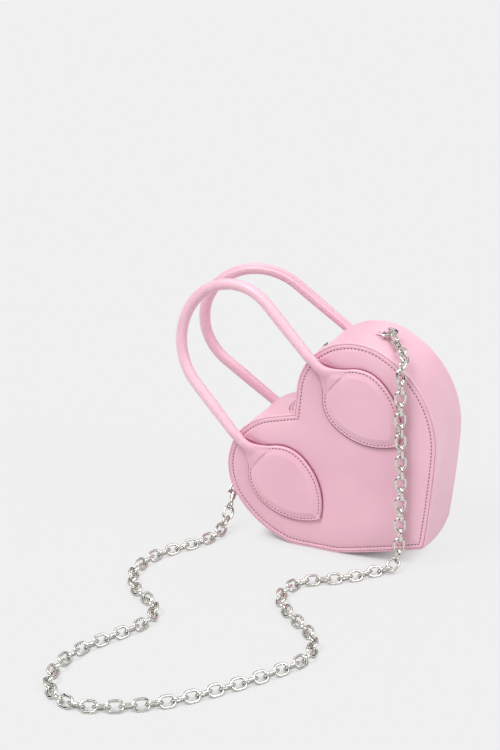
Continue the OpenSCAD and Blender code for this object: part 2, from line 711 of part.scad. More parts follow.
drop_y = -face_y - link_w / 2 - leaf_t;
top_z = right_start[2];
drop_route = [
    right_start + [0.28 * link_w, -0.78 * link_w, -0.32 * link_w],
    [0.2205 * strap_reach, drop_y + 0.12 * link_w, top_z - link_w],
    [0.2230 * strap_reach, drop_y, top_z - 2 * link_w],
    [0.2245 * strap_reach, drop_y, 0.75 * top_z],
    [0.2310 * strap_reach, drop_y, 0.5 * top_z],
    [0.2340 * strap_reach, drop_y, 0.25 * top_z],
    [0.2340 * strap_reach, drop_y, 0.13 * top_z],
    [0.2300 * strap_reach, drop_y - 0.3 * link_w, 0.9 * link_w],
    [0.2140 * strap_reach, drop_y - 1.2 * link_w, strap_z]];
floor_shares = [
    [0.189, -0.172], [0.162, -0.210], [0.118, -0.250], [0.077, -0.276], [0.047, -0.301],
    [0.030, -0.344], [0.031, -0.387], [0.043, -0.413], [0.067, -0.440], [0.098, -0.469],
    [0.134, -0.496], [0.168, -0.530], [0.192, -0.576], [0.190, -0.638], [0.160, -0.694],
    [0.128, -0.746], [0.093, -0.793], [0.058, -0.837], [0.022, -0.880], [-0.016, -0.916],
    [-0.055, -0.943], [-0.096, -0.968], [-0.138, -0.987], [-0.175, -0.994], [-0.211, -0.988],
    [-0.246, -0.968], [-0.272, -0.934], [-0.284, -0.890], [-0.286, -0.845], [-0.278, -0.799],
    [-0.259, -0.752], [-0.235, -0.705], [-0.211, -0.658], [-0.200, -0.612], [-0.209, -0.570],
    [-0.240, -0.534], [-0.278, -0.512], [-0.314, -0.481], [-0.341, -0.433], [-0.348, -0.370],
    [-0.336, -0.314], [-0.311, -0.267], [-0.281, -0.222], [-0.259, -0.180]];
floor_route = [for (p = floor_shares) [p[0] * strap_reach, p[1] * strap_reach, strap_z]];
rise_route = [
    left_start + [0, -2.2 * link_w, strap_z - left_start[2]],
    left_start + 1.1 * link_step * left_pull];
route = concat([right_start], drop_route, floor_route, rise_route, [left_start]);

// A smooth curve through the route's points
function bend(p, q, r, s, t) = 0.5 * (2 * q + (r - p) * t + (2 * p - 5 * q + 4 * r - s) * t * t
    + (3 * q - p - 3 * r + s) * t * t * t);
last = len(route) - 1;
steps = 8;
curve = [for (i = [0:last - 1]) each [for (k = [0:steps - 1])
    bend(route[max(i - 1, 0)], route[i], route[i + 1], route[min(i + 2, last)], k / steps)], route[last]];
function run(pts, i = 0, sum = 0) = i == len(pts) - 1 ? [sum] :
    concat([sum], run(pts, i + 1, sum + norm(pts[i + 1] - pts[i])));
curve_run = run(curve);
curve_x = [for (i = [0:len(curve) - 1]) [curve_run[i], curve[i][0]]];
curve_y = [for (i = [0:len(curve) - 1]) [curve_run[i], curve[i][1]]];
curve_z = [for (i = [0:len(curve) - 1]) [curve_run[i], curve[i][2]]];
function on_curve(s) = [lookup(s, curve_x), lookup(s, curve_y), lookup(s, curve_z)];

strap_l = curve_run[len(curve) - 1];
links = round(strap_l / link_step);
joint_step = strap_l / links;
joints = [for (i = [0:links]) on_curve(i * joint_step)];
echo(strap_length = strap_l, links = links, step = joint_step);

// Links lie aslant in turn, every second one towards the outside of the strap's bend;
// the hanging run has no side of its own and takes the one of its foot
hang_side = [0.5, -0.87, 0];
function facing(axis) = unit(unit([-axis[1], axis[0], 0] + hang_side / 4) + [0, 0, 1]);

// Each eye stands across the link that it holds
right_eye_side = cross(facing(right_pull), right_pull);
left_eye_side = links % 2 == 0 ? facing(-left_pull) : cross(facing(-left_pull), left_pull);
module right_hook_eye() { along(right_hold, right_pull, right_eye_side) eye(); }
module left_hook_eye() { along(left_hold, left_pull, left_eye_side) eye(); }

module link() {
    bend_r = link_w / 2 - link_wire_r;
    straight = link_l - link_w;
    for (end = [0, 1]) mirror([0, 0, end]) translate([0, 0, straight / 2]) rotate([90, 0, 0])
        rotate_extrude(angle = 180, $fn = wire_fn)
        translate([bend_r, 0]) circle(link_wire_r, $fn = wire_fn / 2);
    for (side = [-1, 1]) translate([side * bend_r, 0, 0])
        cylinder(r = link_wire_r, h = straight, center = true, $fn = wire_fn / 2);
}

module strap(from_share, to_share) {
    first = round(from_share * links);
    end = round(to_share * links) - 1;
    color(silver) for (i = [first:end]) {
        axis = unit(joints[i + 1] - joints[i]);
        aim = facing(axis);
        face = unit(aim - (aim * axis) * axis);
        along((joints[i] + joints[i + 1]) / 2, axis, i % 2 == 0 ? cross(face, axis) : face) link();
    }
}

module strap_drop() { strap(0, 0.19); }
module strap_near() { strap(0.19, 0.42); }
module strap_turn() { strap(0.42, 0.64); }
module strap_far() { strap(0.64, 0.86); }
module strap_rise() { strap(0.86, 1); }

front_panel();
back_panel();
gusset();
gusset_board();
front_foam();
back_foam();
front_board();
back_board();
lining();
cleft_patch();
zip_tapes();
zip_teeth();
zip_stops();
zip_slider();
zip_puller();
front_left_tab();
front_right_tab();
back_left_tab();
back_right_tab();
front_tab_pads();
back_tab_pads();
front_handle_cover();
front_handle_core();
back_handle_cover();
back_handle_core();
right_ring_loop();
left_ring_loop();
right_ring();
left_ring();
right_hook();
left_hook();
right_gate();
left_gate();
right_gate_pin();
left_gate_pin();
right_hook_eye();
left_hook_eye();
strap_drop();
strap_near();
strap_turn();
strap_far();
strap_rise();
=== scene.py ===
# %% [markdown]
# # A pink heart purse with two handles and a chain strap
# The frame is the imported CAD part, in metres. Its rings, hooks and zip teeth keep their exact
# shapes here and only get a finish. The chain's links are filled out until they nearly touch.
# Everything that is leather or tape is worked out again as a soft surface around the CAD's form,
# because leather over foam is never as flat as a board.

# %% Load the frame
import math
import bmesh
import bpy
import numpy as np
from mathutils import Matrix


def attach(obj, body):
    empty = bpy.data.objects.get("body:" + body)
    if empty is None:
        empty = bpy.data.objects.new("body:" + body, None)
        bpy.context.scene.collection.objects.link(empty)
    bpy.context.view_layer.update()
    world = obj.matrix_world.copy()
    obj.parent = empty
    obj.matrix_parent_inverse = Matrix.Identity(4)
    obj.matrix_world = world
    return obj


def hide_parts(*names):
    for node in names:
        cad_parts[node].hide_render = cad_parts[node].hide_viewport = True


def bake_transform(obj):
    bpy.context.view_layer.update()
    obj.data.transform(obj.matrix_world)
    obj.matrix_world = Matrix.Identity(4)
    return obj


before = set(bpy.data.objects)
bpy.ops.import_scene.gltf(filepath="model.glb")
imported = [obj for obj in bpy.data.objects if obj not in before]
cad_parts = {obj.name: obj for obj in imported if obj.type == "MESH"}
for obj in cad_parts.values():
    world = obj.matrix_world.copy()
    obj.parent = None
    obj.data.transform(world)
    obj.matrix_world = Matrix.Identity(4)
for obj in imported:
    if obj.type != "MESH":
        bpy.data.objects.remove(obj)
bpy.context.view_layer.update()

# %% [markdown]
# ## The camera
# It stands at the angle from which the purse is seen: about 24.5 degrees round from the front, 20
# degrees up, with a long lens, so that the far side is hardly smaller than the near one. The
# camera's three axes are written out, because a matrix is easier to check than three turns.

# %% Camera
MM = 0.001
CAMERA_TURN, CAMERA_RISE = math.radians(24.49), math.radians(20)
CAMERA_PLACE = (446.1 * MM, -1152.0 * MM, 601.6 * MM)
LENS_MM, SENSOR_MM = 72, 36

right = np.array([math.cos(CAMERA_TURN), math.sin(CAMERA_TURN), 0])
back = np.array([math.sin(CAMERA_TURN) * math.cos(CAMERA_RISE),
                 -math.cos(CAMERA_TURN) * math.cos(CAMERA_RISE), math.sin(CAMERA_RISE)])
up = np.cross(back, right)
lens = bpy.data.cameras.new("camera")
lens.lens, lens.sensor_fit, lens.sensor_height = LENS_MM, "VERTICAL", SENSOR_MM
lens.clip_start, lens.clip_end = 0.01, 50
camera = bpy.data.objects.new("camera", lens)
bpy.context.scene.collection.objects.link(camera)
turned = np.eye(4)
turned[:3, :3] = np.stack([right, up, back], 1)
turned[:3, 3] = CAMERA_PLACE
camera.matrix_world = Matrix(turned.tolist())
bpy.context.scene.camera = camera
bpy.context.scene.view_settings.view_transform = "Standard"
print("camera at", CAMERA_PLACE)

# %% [markdown]
# ## Colours and nodes
# Colours are written as sRGB hex, as a maker would pick them from a swatch, and turned to the
# linear numbers that the shaders want. One small function adds a node, sets its fields and links it.

# %% Colour and node helpers
def linear(swatch):
    """Linear colour of an sRGB hex: c / 12.92 when dark, else ((c + 0.055) / 1.055) to the 2.4."""
    c = np.array([int(swatch[i:i + 2], 16) for i in (1, 3, 5)]) / 255
    c = np.where(c <= 0.04045, c / 12.92, ((c + 0.055) / 1.055) ** 2.4)
    return (*c.tolist(), 1.0)


def add(tree, kind, inputs=None, **fields):
    """Adds one node; inputs gives sockets a value or another node's output."""
    made = tree.nodes.new(kind)
    for name, value in fields.items():
        setattr(made, name, value)
    for name, value in (inputs or {}).items():
        if isinstance(value, bpy.types.NodeSocket):
            tree.links.new(value, made.inputs[name])
        else:
            made.inputs[name].default_value = value
    return made


def new_finish(name, **sockets):
    """A material with one Principled shader, whose even values are set on its own sockets."""
    finish = bpy.data.materials.new(name)
    finish.use_nodes = True
    shader = finish.node_tree.nodes["Principled BSDF"]
    for socket, value in sockets.items():
        shader.inputs[socket.replace("_", " ")].default_value = value
    place = add(finish.node_tree, "ShaderNodeTexCoord")
    return finish, finish.node_tree, shader, place


def ramp(tree, factor, stops):
    """A colour ramp over (position, swatch) stops."""
    made = add(tree, "ShaderNodeValToRGB", {"Fac": factor})
    points = made.color_ramp.elements
    while len(points) < len(stops):
        points.new(0.5)
    for point, (position, swatch) in zip(points, stops):
        point.position, point.color = position, linear(swatch)
    return made.outputs["Color"]


PER_M = 1 / MM
print("pink in linear light:", linear("#EBB7C8"))

# %% [markdown]
# ## Leather
# The purse is smooth calf leather, dyed through and finished with a thin satin coat. Up close it
# has pores about 1 mm apart and faint creases; from a step away the eye sees an even pink that is a
# little deeper in some places than in others, with a broad soft shine. Three patterns at three real
# sizes give that: clouds of tone, pores in the bump, and creases in both the bump and the gloss.

# %% Leather finish
TONE_MM, PORE_MM, CREASE_MM = 60, 1.1, 5
CREASE_SHARE = 1.4


def leather(name, deep, mid, light, pore_depth, gloss):
    """Satin calf leather: tone clouds, pores and soft creases at their real sizes. The bump's
    height is CREASE_SHARE times the creases plus the distance from a pore's middle."""
    finish, tree, shader, place = new_finish(
        name, Specular_IOR_Level=0.5, Coat_Weight=0.12, Coat_Roughness=0.35)
    tone = add(tree, "ShaderNodeTexNoise", {"Vector": place.outputs["Object"],
               "Scale": PER_M / TONE_MM, "Detail": 3.0, "Roughness": 0.55})
    tree.links.new(ramp(tree, tone.outputs["Fac"], [(0.32, deep), (0.52, mid), (0.75, light)]),
                   shader.inputs["Base Color"])
    pores = add(tree, "ShaderNodeTexVoronoi", {"Vector": place.outputs["Object"],
                "Scale": PER_M / PORE_MM}, feature="SMOOTH_F1")
    creases = add(tree, "ShaderNodeTexNoise", {"Vector": place.outputs["Object"],
                  "Scale": PER_M / CREASE_MM, "Detail": 5.0, "Roughness": 0.6})
    height = add(tree, "ShaderNodeMath", {0: creases.outputs["Fac"], 1: CREASE_SHARE},
                 operation="MULTIPLY")
    height = add(tree, "ShaderNodeMath", {0: height.outputs[0], 1: pores.outputs["Distance"]},
                 operation="ADD")
    bump = add(tree, "ShaderNodeBump", {"Height": height.outputs[0], "Strength": 0.35,
               "Distance": pore_depth * MM})
    tree.links.new(bump.outputs["Normal"], shader.inputs["Normal"])
    rough = add(tree, "ShaderNodeMapRange", {"Value": creases.outputs["Fac"], "From Min": 0.3,
                "From Max": 0.7, "To Min": gloss, "To Max": gloss + 0.1})
    tree.links.new(rough.outputs["Result"], shader.inputs["Roughness"])
    return finish


panel_leather = leather("calf_leather_satin", "#E8B4C6", "#EBB9C9", "#EEBECD", 0.10, 0.36)
gusset_leather = leather("calf_leather_gusset", "#E9B6C7", "#ECBBCB", "#EFC1CF", 0.10, 0.36)
handle_leather = leather("calf_leather_handle", "#E8B6C7", "#EBBBCA", "#EEC0CE", 0.14, 0.34)
print("leathers:", panel_leather.name, gusset_leather.name, handle_leather.name)

# %% [markdown]
# ## Metal, thread and cloth
# The chain, rings and hooks are die-cast and wire parts, polished and plated with nickel: almost a
# mirror, slightly warm, with faint marks left by the polishing. The thread is bonded polyester,
# about as light as the leather. The dark dots in a seam are painted shade: dark capsules set in its
# needle holes, where the hole itself would be in shade. The zip's tape is woven, the lining is a
# cotton twill, and the boards and foam inside never show but are finished as what they are.

# %% Polished nickel
POLISH_MM = 1.6
nickel, tree, shader, place = new_finish("polished_nickel_plate", Metallic=1.0)
marks = add(tree, "ShaderNodeTexNoise", {"Vector": place.outputs["Object"],
            "Scale": PER_M / POLISH_MM, "Detail": 6.0, "Roughness": 0.7})
tree.links.new(ramp(tree, marks.outputs["Fac"], [(0.35, "#CFCFC9"), (0.65, "#E6E6DF")]),
               shader.inputs["Base Color"])
rough = add(tree, "ShaderNodeMapRange", {"Value": marks.outputs["Fac"], "From Min": 0.3,
            "From Max": 0.7, "To Min": 0.06, "To Max": 0.13})
tree.links.new(rough.outputs["Result"], shader.inputs["Roughness"])
bump = add(tree, "ShaderNodeBump", {"Height": marks.outputs["Fac"], "Strength": 0.08,
           "Distance": 0.05 * MM})
tree.links.new(bump.outputs["Normal"], shader.inputs["Normal"])
print("metal:", nickel.name)

# %% Thread, edges, cloth, board and foam
STRAND_MM, WAVE_FACTOR = 0.5, 20


def fibre(name, swatches, size_mm, roughness, depth, sheen=0.0):
    """Matt fibrous matter: two tones over one grain size, with its bump."""
    finish, tree, shader, place = new_finish(name, Roughness=roughness, Sheen_Weight=sheen)
    grain = add(tree, "ShaderNodeTexNoise", {"Vector": place.outputs["Object"],
                "Scale": PER_M / size_mm, "Detail": 4.0})
    tree.links.new(ramp(tree, grain.outputs["Fac"], [(0.35, swatches[0]), (0.65, swatches[1])]),
                   shader.inputs["Base Color"])
    bump = add(tree, "ShaderNodeBump", {"Height": grain.outputs["Fac"], "Strength": 0.5,
               "Distance": depth * MM})
    tree.links.new(bump.outputs["Normal"], shader.inputs["Normal"])
    return finish


def woven(name, swatches, strand_mm, coordinate):
    """Plain weave: two crossed waves, whose product is high where their crests cross. Blender's
    wave is the sine of WAVE_FACTOR x scale, so a band is 2 pi strands wide: about six times coarser
    than the real weave."""
    finish, tree, shader, place = new_finish(name, Roughness=0.75, Sheen_Weight=0.3)
    bands = [add(tree, "ShaderNodeTexWave", {"Vector": place.outputs[coordinate],
             "Scale": PER_M / strand_mm / WAVE_FACTOR, "Distortion": 0.6}, bands_direction=axis)
             for axis in ("X", "Y")]
    cloth = add(tree, "ShaderNodeMath", {0: bands[0].outputs["Fac"], 1: bands[1].outputs["Fac"]},
                operation="MULTIPLY")
    tree.links.new(ramp(tree, cloth.outputs[0], [(0.0, swatches[0]), (0.6, swatches[1])]),
                   shader.inputs["Base Color"])
    bump = add(tree, "ShaderNodeBump", {"Height": cloth.outputs[0], "Strength": 0.6,
               "Distance": 0.12 * MM})
    tree.links.new(bump.outputs["Normal"], shader.inputs["Normal"])
    return finish


thread = fibre("polyester_thread_rose", ("#E9B3C5", "#F2C4D3"), STRAND_MM, 0.6, 0.05, 0.2)
# Painted shade: the needle holes' shade is this dark colour on small capsules set in each hole.
painted_hole_shade = fibre("needle_hole_painted_shade", ("#5A1730", "#6A2340"), STRAND_MM, 0.8, 0.05)
# Partly edge paint, partly painted shadow: the dark rose of the leaves' backing rims, which also
# stands for the line of shade under each leaf's edge.
edge_paint_and_shadow = fibre("rose_edge_paint_and_painted_shadow", ("#8E4764", "#9C5673"), 0.8, 0.5, 0.03)
zip_cloth = woven("zip_tape_weave", ("#D59AB0", "#E6B4C5"), 0.7, "UV")
lining_cloth = woven("cotton_twill_lining", ("#C9A0AE", "#DAB4C1"), 0.8, "Object")
board_fibre = fibre("grey_fibreboard", ("#9F9990", "#B9B2A8"), 1.5, 0.85, 0.1)
foam_cells = fibre("closed_cell_foam", ("#E2E0D8", "#F1EFE8"), 0.9, 0.9, 0.2)
print("finishes:", len(bpy.data.materials))

# %% [markdown]
# ## The studio
# The floor and the light are one idea: a pale sweep under broad softboxes. The sky is bright above,
# dark in a band low over the horizon, and crossed by upright strips of light, so that polished
# metal has something to mirror. The camera itself sees the plain backdrop tone, and on the floor
# it sees mostly that tone with a little of the real shadow, as on a paper sweep lit from behind.
# Close to a contact, within CONTACT_MM, more of the real shadow comes through.

# %% Sky and lamps
FLOOR_TONE = "#F0F0F0"
world = bpy.data.worlds.new("studio")
bpy.context.scene.world = world
world.use_nodes = True
tree = world.node_tree
tree.nodes.clear()
place = add(tree, "ShaderNodeTexCoord")
height = add(tree, "ShaderNodeSeparateXYZ", {"Vector": place.outputs["Generated"]})
sky = ramp(tree, height.outputs["Z"], [(0.0, "#DCDCDC"), (0.07, "#161618"), (0.30, "#2C2C2E"),
                                       (0.46, "#F0F0F0"), (1.0, "#FFFFFF")])
strips = add(tree, "ShaderNodeTexWave", {"Vector": place.outputs["Generated"], "Scale": 0.9,
             "Distortion": 1.5, "Detail": 0.0}, bands_direction="X")
strips = add(tree, "ShaderNodeMapRange", {"Value": strips.outputs["Fac"], "From Min": 0.3,
             "From Max": 0.65, "To Min": 0.06, "To Max": 1.6})
seen = add(tree, "ShaderNodeLightPath")
lamp = add(tree, "ShaderNodeBackground", {"Color": sky, "Strength": strips.outputs["Result"]})
paper = add(tree, "ShaderNodeBackground", {"Color": linear(FLOOR_TONE), "Strength": 1.0})
mixed = add(tree, "ShaderNodeMixShader", {0: seen.outputs["Is Camera Ray"],
            1: lamp.outputs[0], 2: paper.outputs[0]})
add(tree, "ShaderNodeOutputWorld", {"Surface": mixed.outputs[0]})

# Strength, spread in degrees and turn in degrees of each sun.
LAMPS = {"front_softbox": (1.88, 22, (28, -20, 0)), "side_softbox": (1.08, 40, (8, 48, 0))}
for name, (energy, spread, turn) in LAMPS.items():
    sun = bpy.data.lights.new(name, "SUN")
    sun.energy, sun.angle = energy, math.radians(spread)
    lit = bpy.data.objects.new(name, sun)
    lit.rotation_euler = [math.radians(a) for a in turn]
    bpy.context.scene.collection.objects.link(lit)
print("lamps:", list(LAMPS))

# %% Floor
FLOOR_HALF, PAPER_TONE = 8, "#CFCFCF"
SHADOW_SHARE, CONTACT_MM = 0.08, 16
floor_mesh = bpy.data.meshes.new("floor")
floor_mesh.from_pydata([(-FLOOR_HALF, -FLOOR_HALF, 0), (FLOOR_HALF, -FLOOR_HALF, 0),
                        (FLOOR_HALF, FLOOR_HALF, 0), (-FLOOR_HALF, FLOOR_HALF, 0)], [],
                       [(0, 1, 2, 3)])
floor = bpy.data.objects.new("floor", floor_mesh)
bpy.context.scene.collection.objects.link(floor)
paper_sweep, tree, shader, place = new_finish("matt_paper_sweep", Roughness=1.0,
                                              Specular_IOR_Level=0.0)
shader.inputs["Base Color"].default_value = linear(PAPER_TONE)
seen = add(tree, "ShaderNodeLightPath")
share = add(tree, "ShaderNodeMath", {0: seen.outputs["Is Camera Ray"], 1: 1 - SHADOW_SHARE},
            operation="MULTIPLY")
near = add(tree, "ShaderNodeAmbientOcclusion", {"Distance": CONTACT_MM * MM}, samples=8)
share = add(tree, "ShaderNodeMath", {0: share.outputs[0], 1: near.outputs["AO"]},
            operation="MULTIPLY")
glow = add(tree, "ShaderNodeEmission", {"Color": linear(FLOOR_TONE), "Strength": 1.0})
mixed = add(tree, "ShaderNodeMixShader", {0: share.outputs[0], 1: shader.outputs[0],
            2: glow.outputs[0]})
tree.links.new(mixed.outputs[0], tree.nodes["Material Output"].inputs["Surface"])
floor_mesh.materials.append(paper_sweep)
print("floor tone:", linear(FLOOR_TONE))

# %% [markdown]
# ## The heart's outline
# The pattern maker's heart is a chain of arcs: a straight side in the cleft, the lobe, the
# shoulder, a nearly straight flank and a small round tip, mirrored. The same list of shares along
# each arc is used at every inset from the edge, so that rows at different insets match point for
# point and can be joined into one surface. The bag leans on its left flank, so the flat heart is
# turned into place by one tilt.

# %% Outline and standing place
HEART_W, BAG_D = 210, 70
LOBE_R, SHOULDER_R, FLANK_R, TIP_R, GUSSET_T = 53.3, 91.4, 972, 6, 1.6
SHOULDER_START, FLANK_START, CLEFT_SLOPE = map(math.radians, (15, 52, 55))
CLEFT_TURN = math.pi - CLEFT_SLOPE
REST_TILT, REST_SINK, PRESS_SOFT = math.radians(49.5), 2.5, 0.3
ZIP_END, ZIP_FOOT, ZIP_POINTS = math.radians(84), 0.124, 26


def ray(a):
    """Unit vector at angle a: (cos a, sin a)."""
    return np.stack([np.cos(a), np.sin(a)], -1)


lobe_x = HEART_W / 2 - SHOULDER_R + (SHOULDER_R - LOBE_R) * math.cos(SHOULDER_START)
LOBE = np.array([lobe_x, 0])
SHOULDER = LOBE - (SHOULDER_R - LOBE_R) * ray(SHOULDER_START)
FLANK = SHOULDER - (FLANK_R - SHOULDER_R) * ray(-FLANK_START)
REST_H = (SHOULDER_R - REST_SINK + SHOULDER[0] * math.sin(REST_TILT)
          - SHOULDER[1] * math.cos(REST_TILT))
REST_X = -SHOULDER[0] * math.cos(REST_TILT) - SHOULDER[1] * math.sin(REST_TILT)
side_l = (lobe_x - LOBE_R * math.cos(CLEFT_SLOPE)) / math.sin(CLEFT_SLOPE)
end_share = (CLEFT_TURN - ZIP_END) / (CLEFT_TURN - SHOULDER_START)
# Shares along the five arcs. SIDE has a point at the zip's foot and ROUND has one at its end.
SIDE = np.r_[ZIP_FOOT / 2, np.linspace(ZIP_FOOT, 1, 10)[:-1]]
ROUND = np.r_[np.linspace(0, end_share, ZIP_POINTS)[:-1], np.linspace(end_share, 1, 40)[:-1]]
DOWN, LOW, TIP = (np.arange(n) / n for n in (56, 30, 10))


def outline(inset):
    """The heart at an inset: each arc is centre + (radius - inset) (cos, sin); the two cleft
    sides meet where x is 0, and the tip's arc touches both flanks."""
    tip_r = max(TIP_R - inset, GUSSET_T)
    tip = np.array([0, FLANK[1] - math.sqrt((FLANK_R - inset - tip_r) ** 2 - FLANK[0] ** 2)])
    tip_turn = math.atan2(tip[1] - FLANK[1], tip[0] - FLANK[0])
    valley = np.array([0, (LOBE_R - inset - lobe_x * math.cos(CLEFT_SLOPE)) / math.sin(CLEFT_SLOPE)])
    top = LOBE + (LOBE_R - inset) * ray(CLEFT_TURN)
    half = np.vstack([
        valley + (top - valley) * SIDE[:, None],
        LOBE + (LOBE_R - inset) * ray(CLEFT_TURN + (SHOULDER_START - CLEFT_TURN) * ROUND),
        SHOULDER + (SHOULDER_R - inset) * ray(SHOULDER_START - (SHOULDER_START + FLANK_START) * DOWN),
        FLANK + (FLANK_R - inset) * ray(-FLANK_START + (tip_turn + FLANK_START) * LOW),
        tip + tip_r * ray(tip_turn + (-math.pi / 2 - tip_turn) * TIP)])
    return np.vstack([valley, half, tip - [0, tip_r], half[::-1] * [-1, 1]])


def stand(x, depth, z, floor_mm=None):
    """Bag plane to room: turn by the tilt, shift to the standing face. A point that would sink
    under floor_mm is pressed up to it by a smooth maximum, (z + f + sqrt((z - f)^2 + s)) / 2."""
    x, depth, z = np.broadcast_arrays(x, depth, z)
    wide = x * math.cos(REST_TILT) - z * math.sin(REST_TILT) - REST_X
    high = x * math.sin(REST_TILT) + z * math.cos(REST_TILT) + REST_H
    if floor_mm is not None:
        high = (high + floor_mm + np.sqrt((high - floor_mm) ** 2 + PRESS_SOFT)) / 2
    return np.stack([wide, depth, high], -1)


ring_n = len(outline(0))
print("outline of", ring_n, "points; valley at", outline(0)[0].round(2))

# %% [markdown]
# ## From rows of points to a piece
# Every soft piece below is a grid: rows of points, each row a closed loop, joined by four-sided
# faces. Doubled points, such as a row that shrinks to a pole, are merged, and the faces are turned
# outwards. A woven piece also carries its own lengths as a UV map, so that the weave follows it.

# %% Grid to mesh
MERGE_MM = 0.002


def grid_faces(rows, columns):
    """Four corners per cell: (i, j), (i, j+1), (i+1, j+1), (i+1, j), counted row by row. The last
    column joins the first."""
    i, j = np.arange(rows - 1)[:, None], np.arange(columns)
    after = (j + 1) % columns
    cells = [i * columns + j, i * columns + after, (i + 1) * columns + after, (i + 1) * columns + j]
    return np.stack(cells, -1).reshape(-1, 4)


def merge(mesh, drop_slivers=True):
    """Merges doubled points, drops faces that are left without area, and turns faces outwards."""
    work = bmesh.new()
    work.from_mesh(mesh)
    bmesh.ops.remove_doubles(work, verts=work.verts, dist=MERGE_MM * MM)
    if drop_slivers:
        bmesh.ops.dissolve_degenerate(work, edges=work.edges, dist=MERGE_MM / 2 * MM)
    bmesh.ops.recalc_face_normals(work, faces=work.faces)
    work.to_mesh(mesh)
    work.free()


def placed(name, mesh):
    """Shades a mesh smooth and links it into the scene, at the origin."""
    mesh.polygons.foreach_set("use_smooth", [True] * len(mesh.polygons))
    made = bpy.data.objects.new(name, mesh)
    bpy.context.scene.collection.objects.link(made)
    print(f"{name}: {len(mesh.vertices)} points, {len(mesh.polygons)} faces")
    return made


def piece(name, points, faces, finish, uv=None, edge=None):
    """A mesh object from points in millimetres, smooth, with outward faces; edge is a second
    finish and the mask of the faces that wear it, and uv is lengths in millimetres."""
    mesh = bpy.data.meshes.new(name)
    mesh.from_pydata((np.asarray(points).reshape(-1, 3) * MM).tolist(), [], faces.tolist())
    if uv is not None:
        layer = mesh.uv_layers.new(name="UVMap")
        layer.data.foreach_set("uv", (uv.reshape(-1, 2)[faces.ravel()] * MM).ravel())
    mesh.materials.append(finish)
    if edge is not None:
        mesh.materials.append(edge[0])
        mesh.polygons.foreach_set("material_index", edge[1].astype(int).ravel())
    merge(mesh)
    return placed(name, mesh)


def step(x, start, end):
    """Smooth step from 0 to 1: t^2 (3 - 2t) with t = (x - start) / (end - start), kept in 0..1."""
    t = np.clip((x - start) / (end - start), 0, 1)
    return t * t * (3 - 2 * t)


def between(first, last, share):
    """The value at a share of the way: first + (last - first) share."""
    return first + (last - first) * share


print("first face of a small grid:", grid_faces(2, 3)[0])

# %% [markdown]
# ## The shape of a leaf
# Each handle ends in a leaf of leather on the panel. Its outline is a chain of arcs too: two sides
# that meet in a point, a round head and a flare into the stem. Two questions are asked of it below:
# how wide it is at a height, and how far inside or outside its edge a point lies.

# %% The shape of a leaf
# The back's leaves and handle sit BACK_SHIFT along x from the front's.
BACK_SHIFT = 4
TUBE_R, TUBE_Y, HINGE_Z, HANDLE_X = 4.5, 41.5, 55, 53.5
# The head, sides and flare are arcs of these radii, and the head's middle lies LEAF_DROP below 0.
LEAF_R, LEAF_SIDE_R, LEAF_DROP, FLARE_R = 30.5, 56, 2, 32
flare_x = TUBE_R + FLARE_R
flare_z = math.sqrt((LEAF_R + FLARE_R) ** 2 - flare_x ** 2) - LEAF_DROP
flare_foot_z = (flare_z + LEAF_DROP) * LEAF_R / (LEAF_R + FLARE_R) - LEAF_DROP
leaf_tip_z = -LEAF_DROP - math.sqrt(LEAF_SIDE_R ** 2 - (LEAF_SIDE_R - LEAF_R) ** 2)


def leaf_half_width(z):
    """Half width at height z: side arc below the head's middle, head circle, then the flare."""
    side = LEAF_R - LEAF_SIDE_R + np.sqrt(np.clip(LEAF_SIDE_R ** 2 - (z + LEAF_DROP) ** 2, 0, None))
    head = np.sqrt(np.clip(LEAF_R ** 2 - (z + LEAF_DROP) ** 2, 0, None))
    flare = flare_x - np.sqrt(np.clip(FLARE_R ** 2 - (np.minimum(z, flare_z) - flare_z) ** 2, 0, None))
    return np.where(z < -LEAF_DROP, side, np.where(z < flare_foot_z, head, flare))


def leaf_distance(x, z):
    """Distance in from the leaf's edge: radius less distance from that arc's centre. It is below
    zero outside the leaf."""
    x = np.abs(x)
    side = LEAF_SIDE_R - np.hypot(x + LEAF_SIDE_R - LEAF_R, z + LEAF_DROP)
    head = LEAF_R - np.hypot(x, z + LEAF_DROP)
    flare = np.hypot(x - flare_x, np.minimum(z, flare_z) - flare_z) - FLARE_R
    flare = np.where(x > flare_x, -FLARE_R, flare)
    return np.where(z < -LEAF_DROP, side, np.where(z < flare_foot_z, head, flare))


print("leaf point at", round(leaf_tip_z, 2))

# %% [markdown]
# ## Front and back panels
# A panel is one piece of leather over foam. Its turned edge is rounded and a row of stitches is
# pulled in 3 mm inside it; past the stitches the foam lifts it. The rows run parallel to the edge
# as far as the stitching needs, and then shrink towards the middle. The height is a sum of those
# facts, plus slow waves of a few tenths of a millimetre, because hand-stretched leather is never
# flat.

# %% Panel height
FACE_Y, PANEL_T, PANEL_INSET = BAG_D / 2, 1.6, 1.8
STITCH_IN, GROOVE_DEEP, GROOVE_WIDE = 3.2, 0.45, 0.75
PANEL_PUFF, PUFF_GAP, PUFF_REACH = 1.8, 0.5, 7
# Beside a leaf a narrow dip lies in a wide one: the depth and reach of each.
HOLLOWS = ((0.5, 1.2), (0.5, 4.5))
# The insets over which the hollow and the waves set in.
HOLLOW_FROM, WAVES_FROM = (4, 9), (6, 24)


def waves(x, z, seed):
    """Slow unevenness: a product of two sines and two slanting ones, 65 to 145 mm long."""
    return (0.20 * np.sin(x / 19 + 1.3 * seed) * np.sin(z / 23 + seed)
            + 0.16 * np.sin((x + z) / 15 + 2.1 * seed) + 0.10 * np.sin((x - 1.7 * z) / 27 - seed))


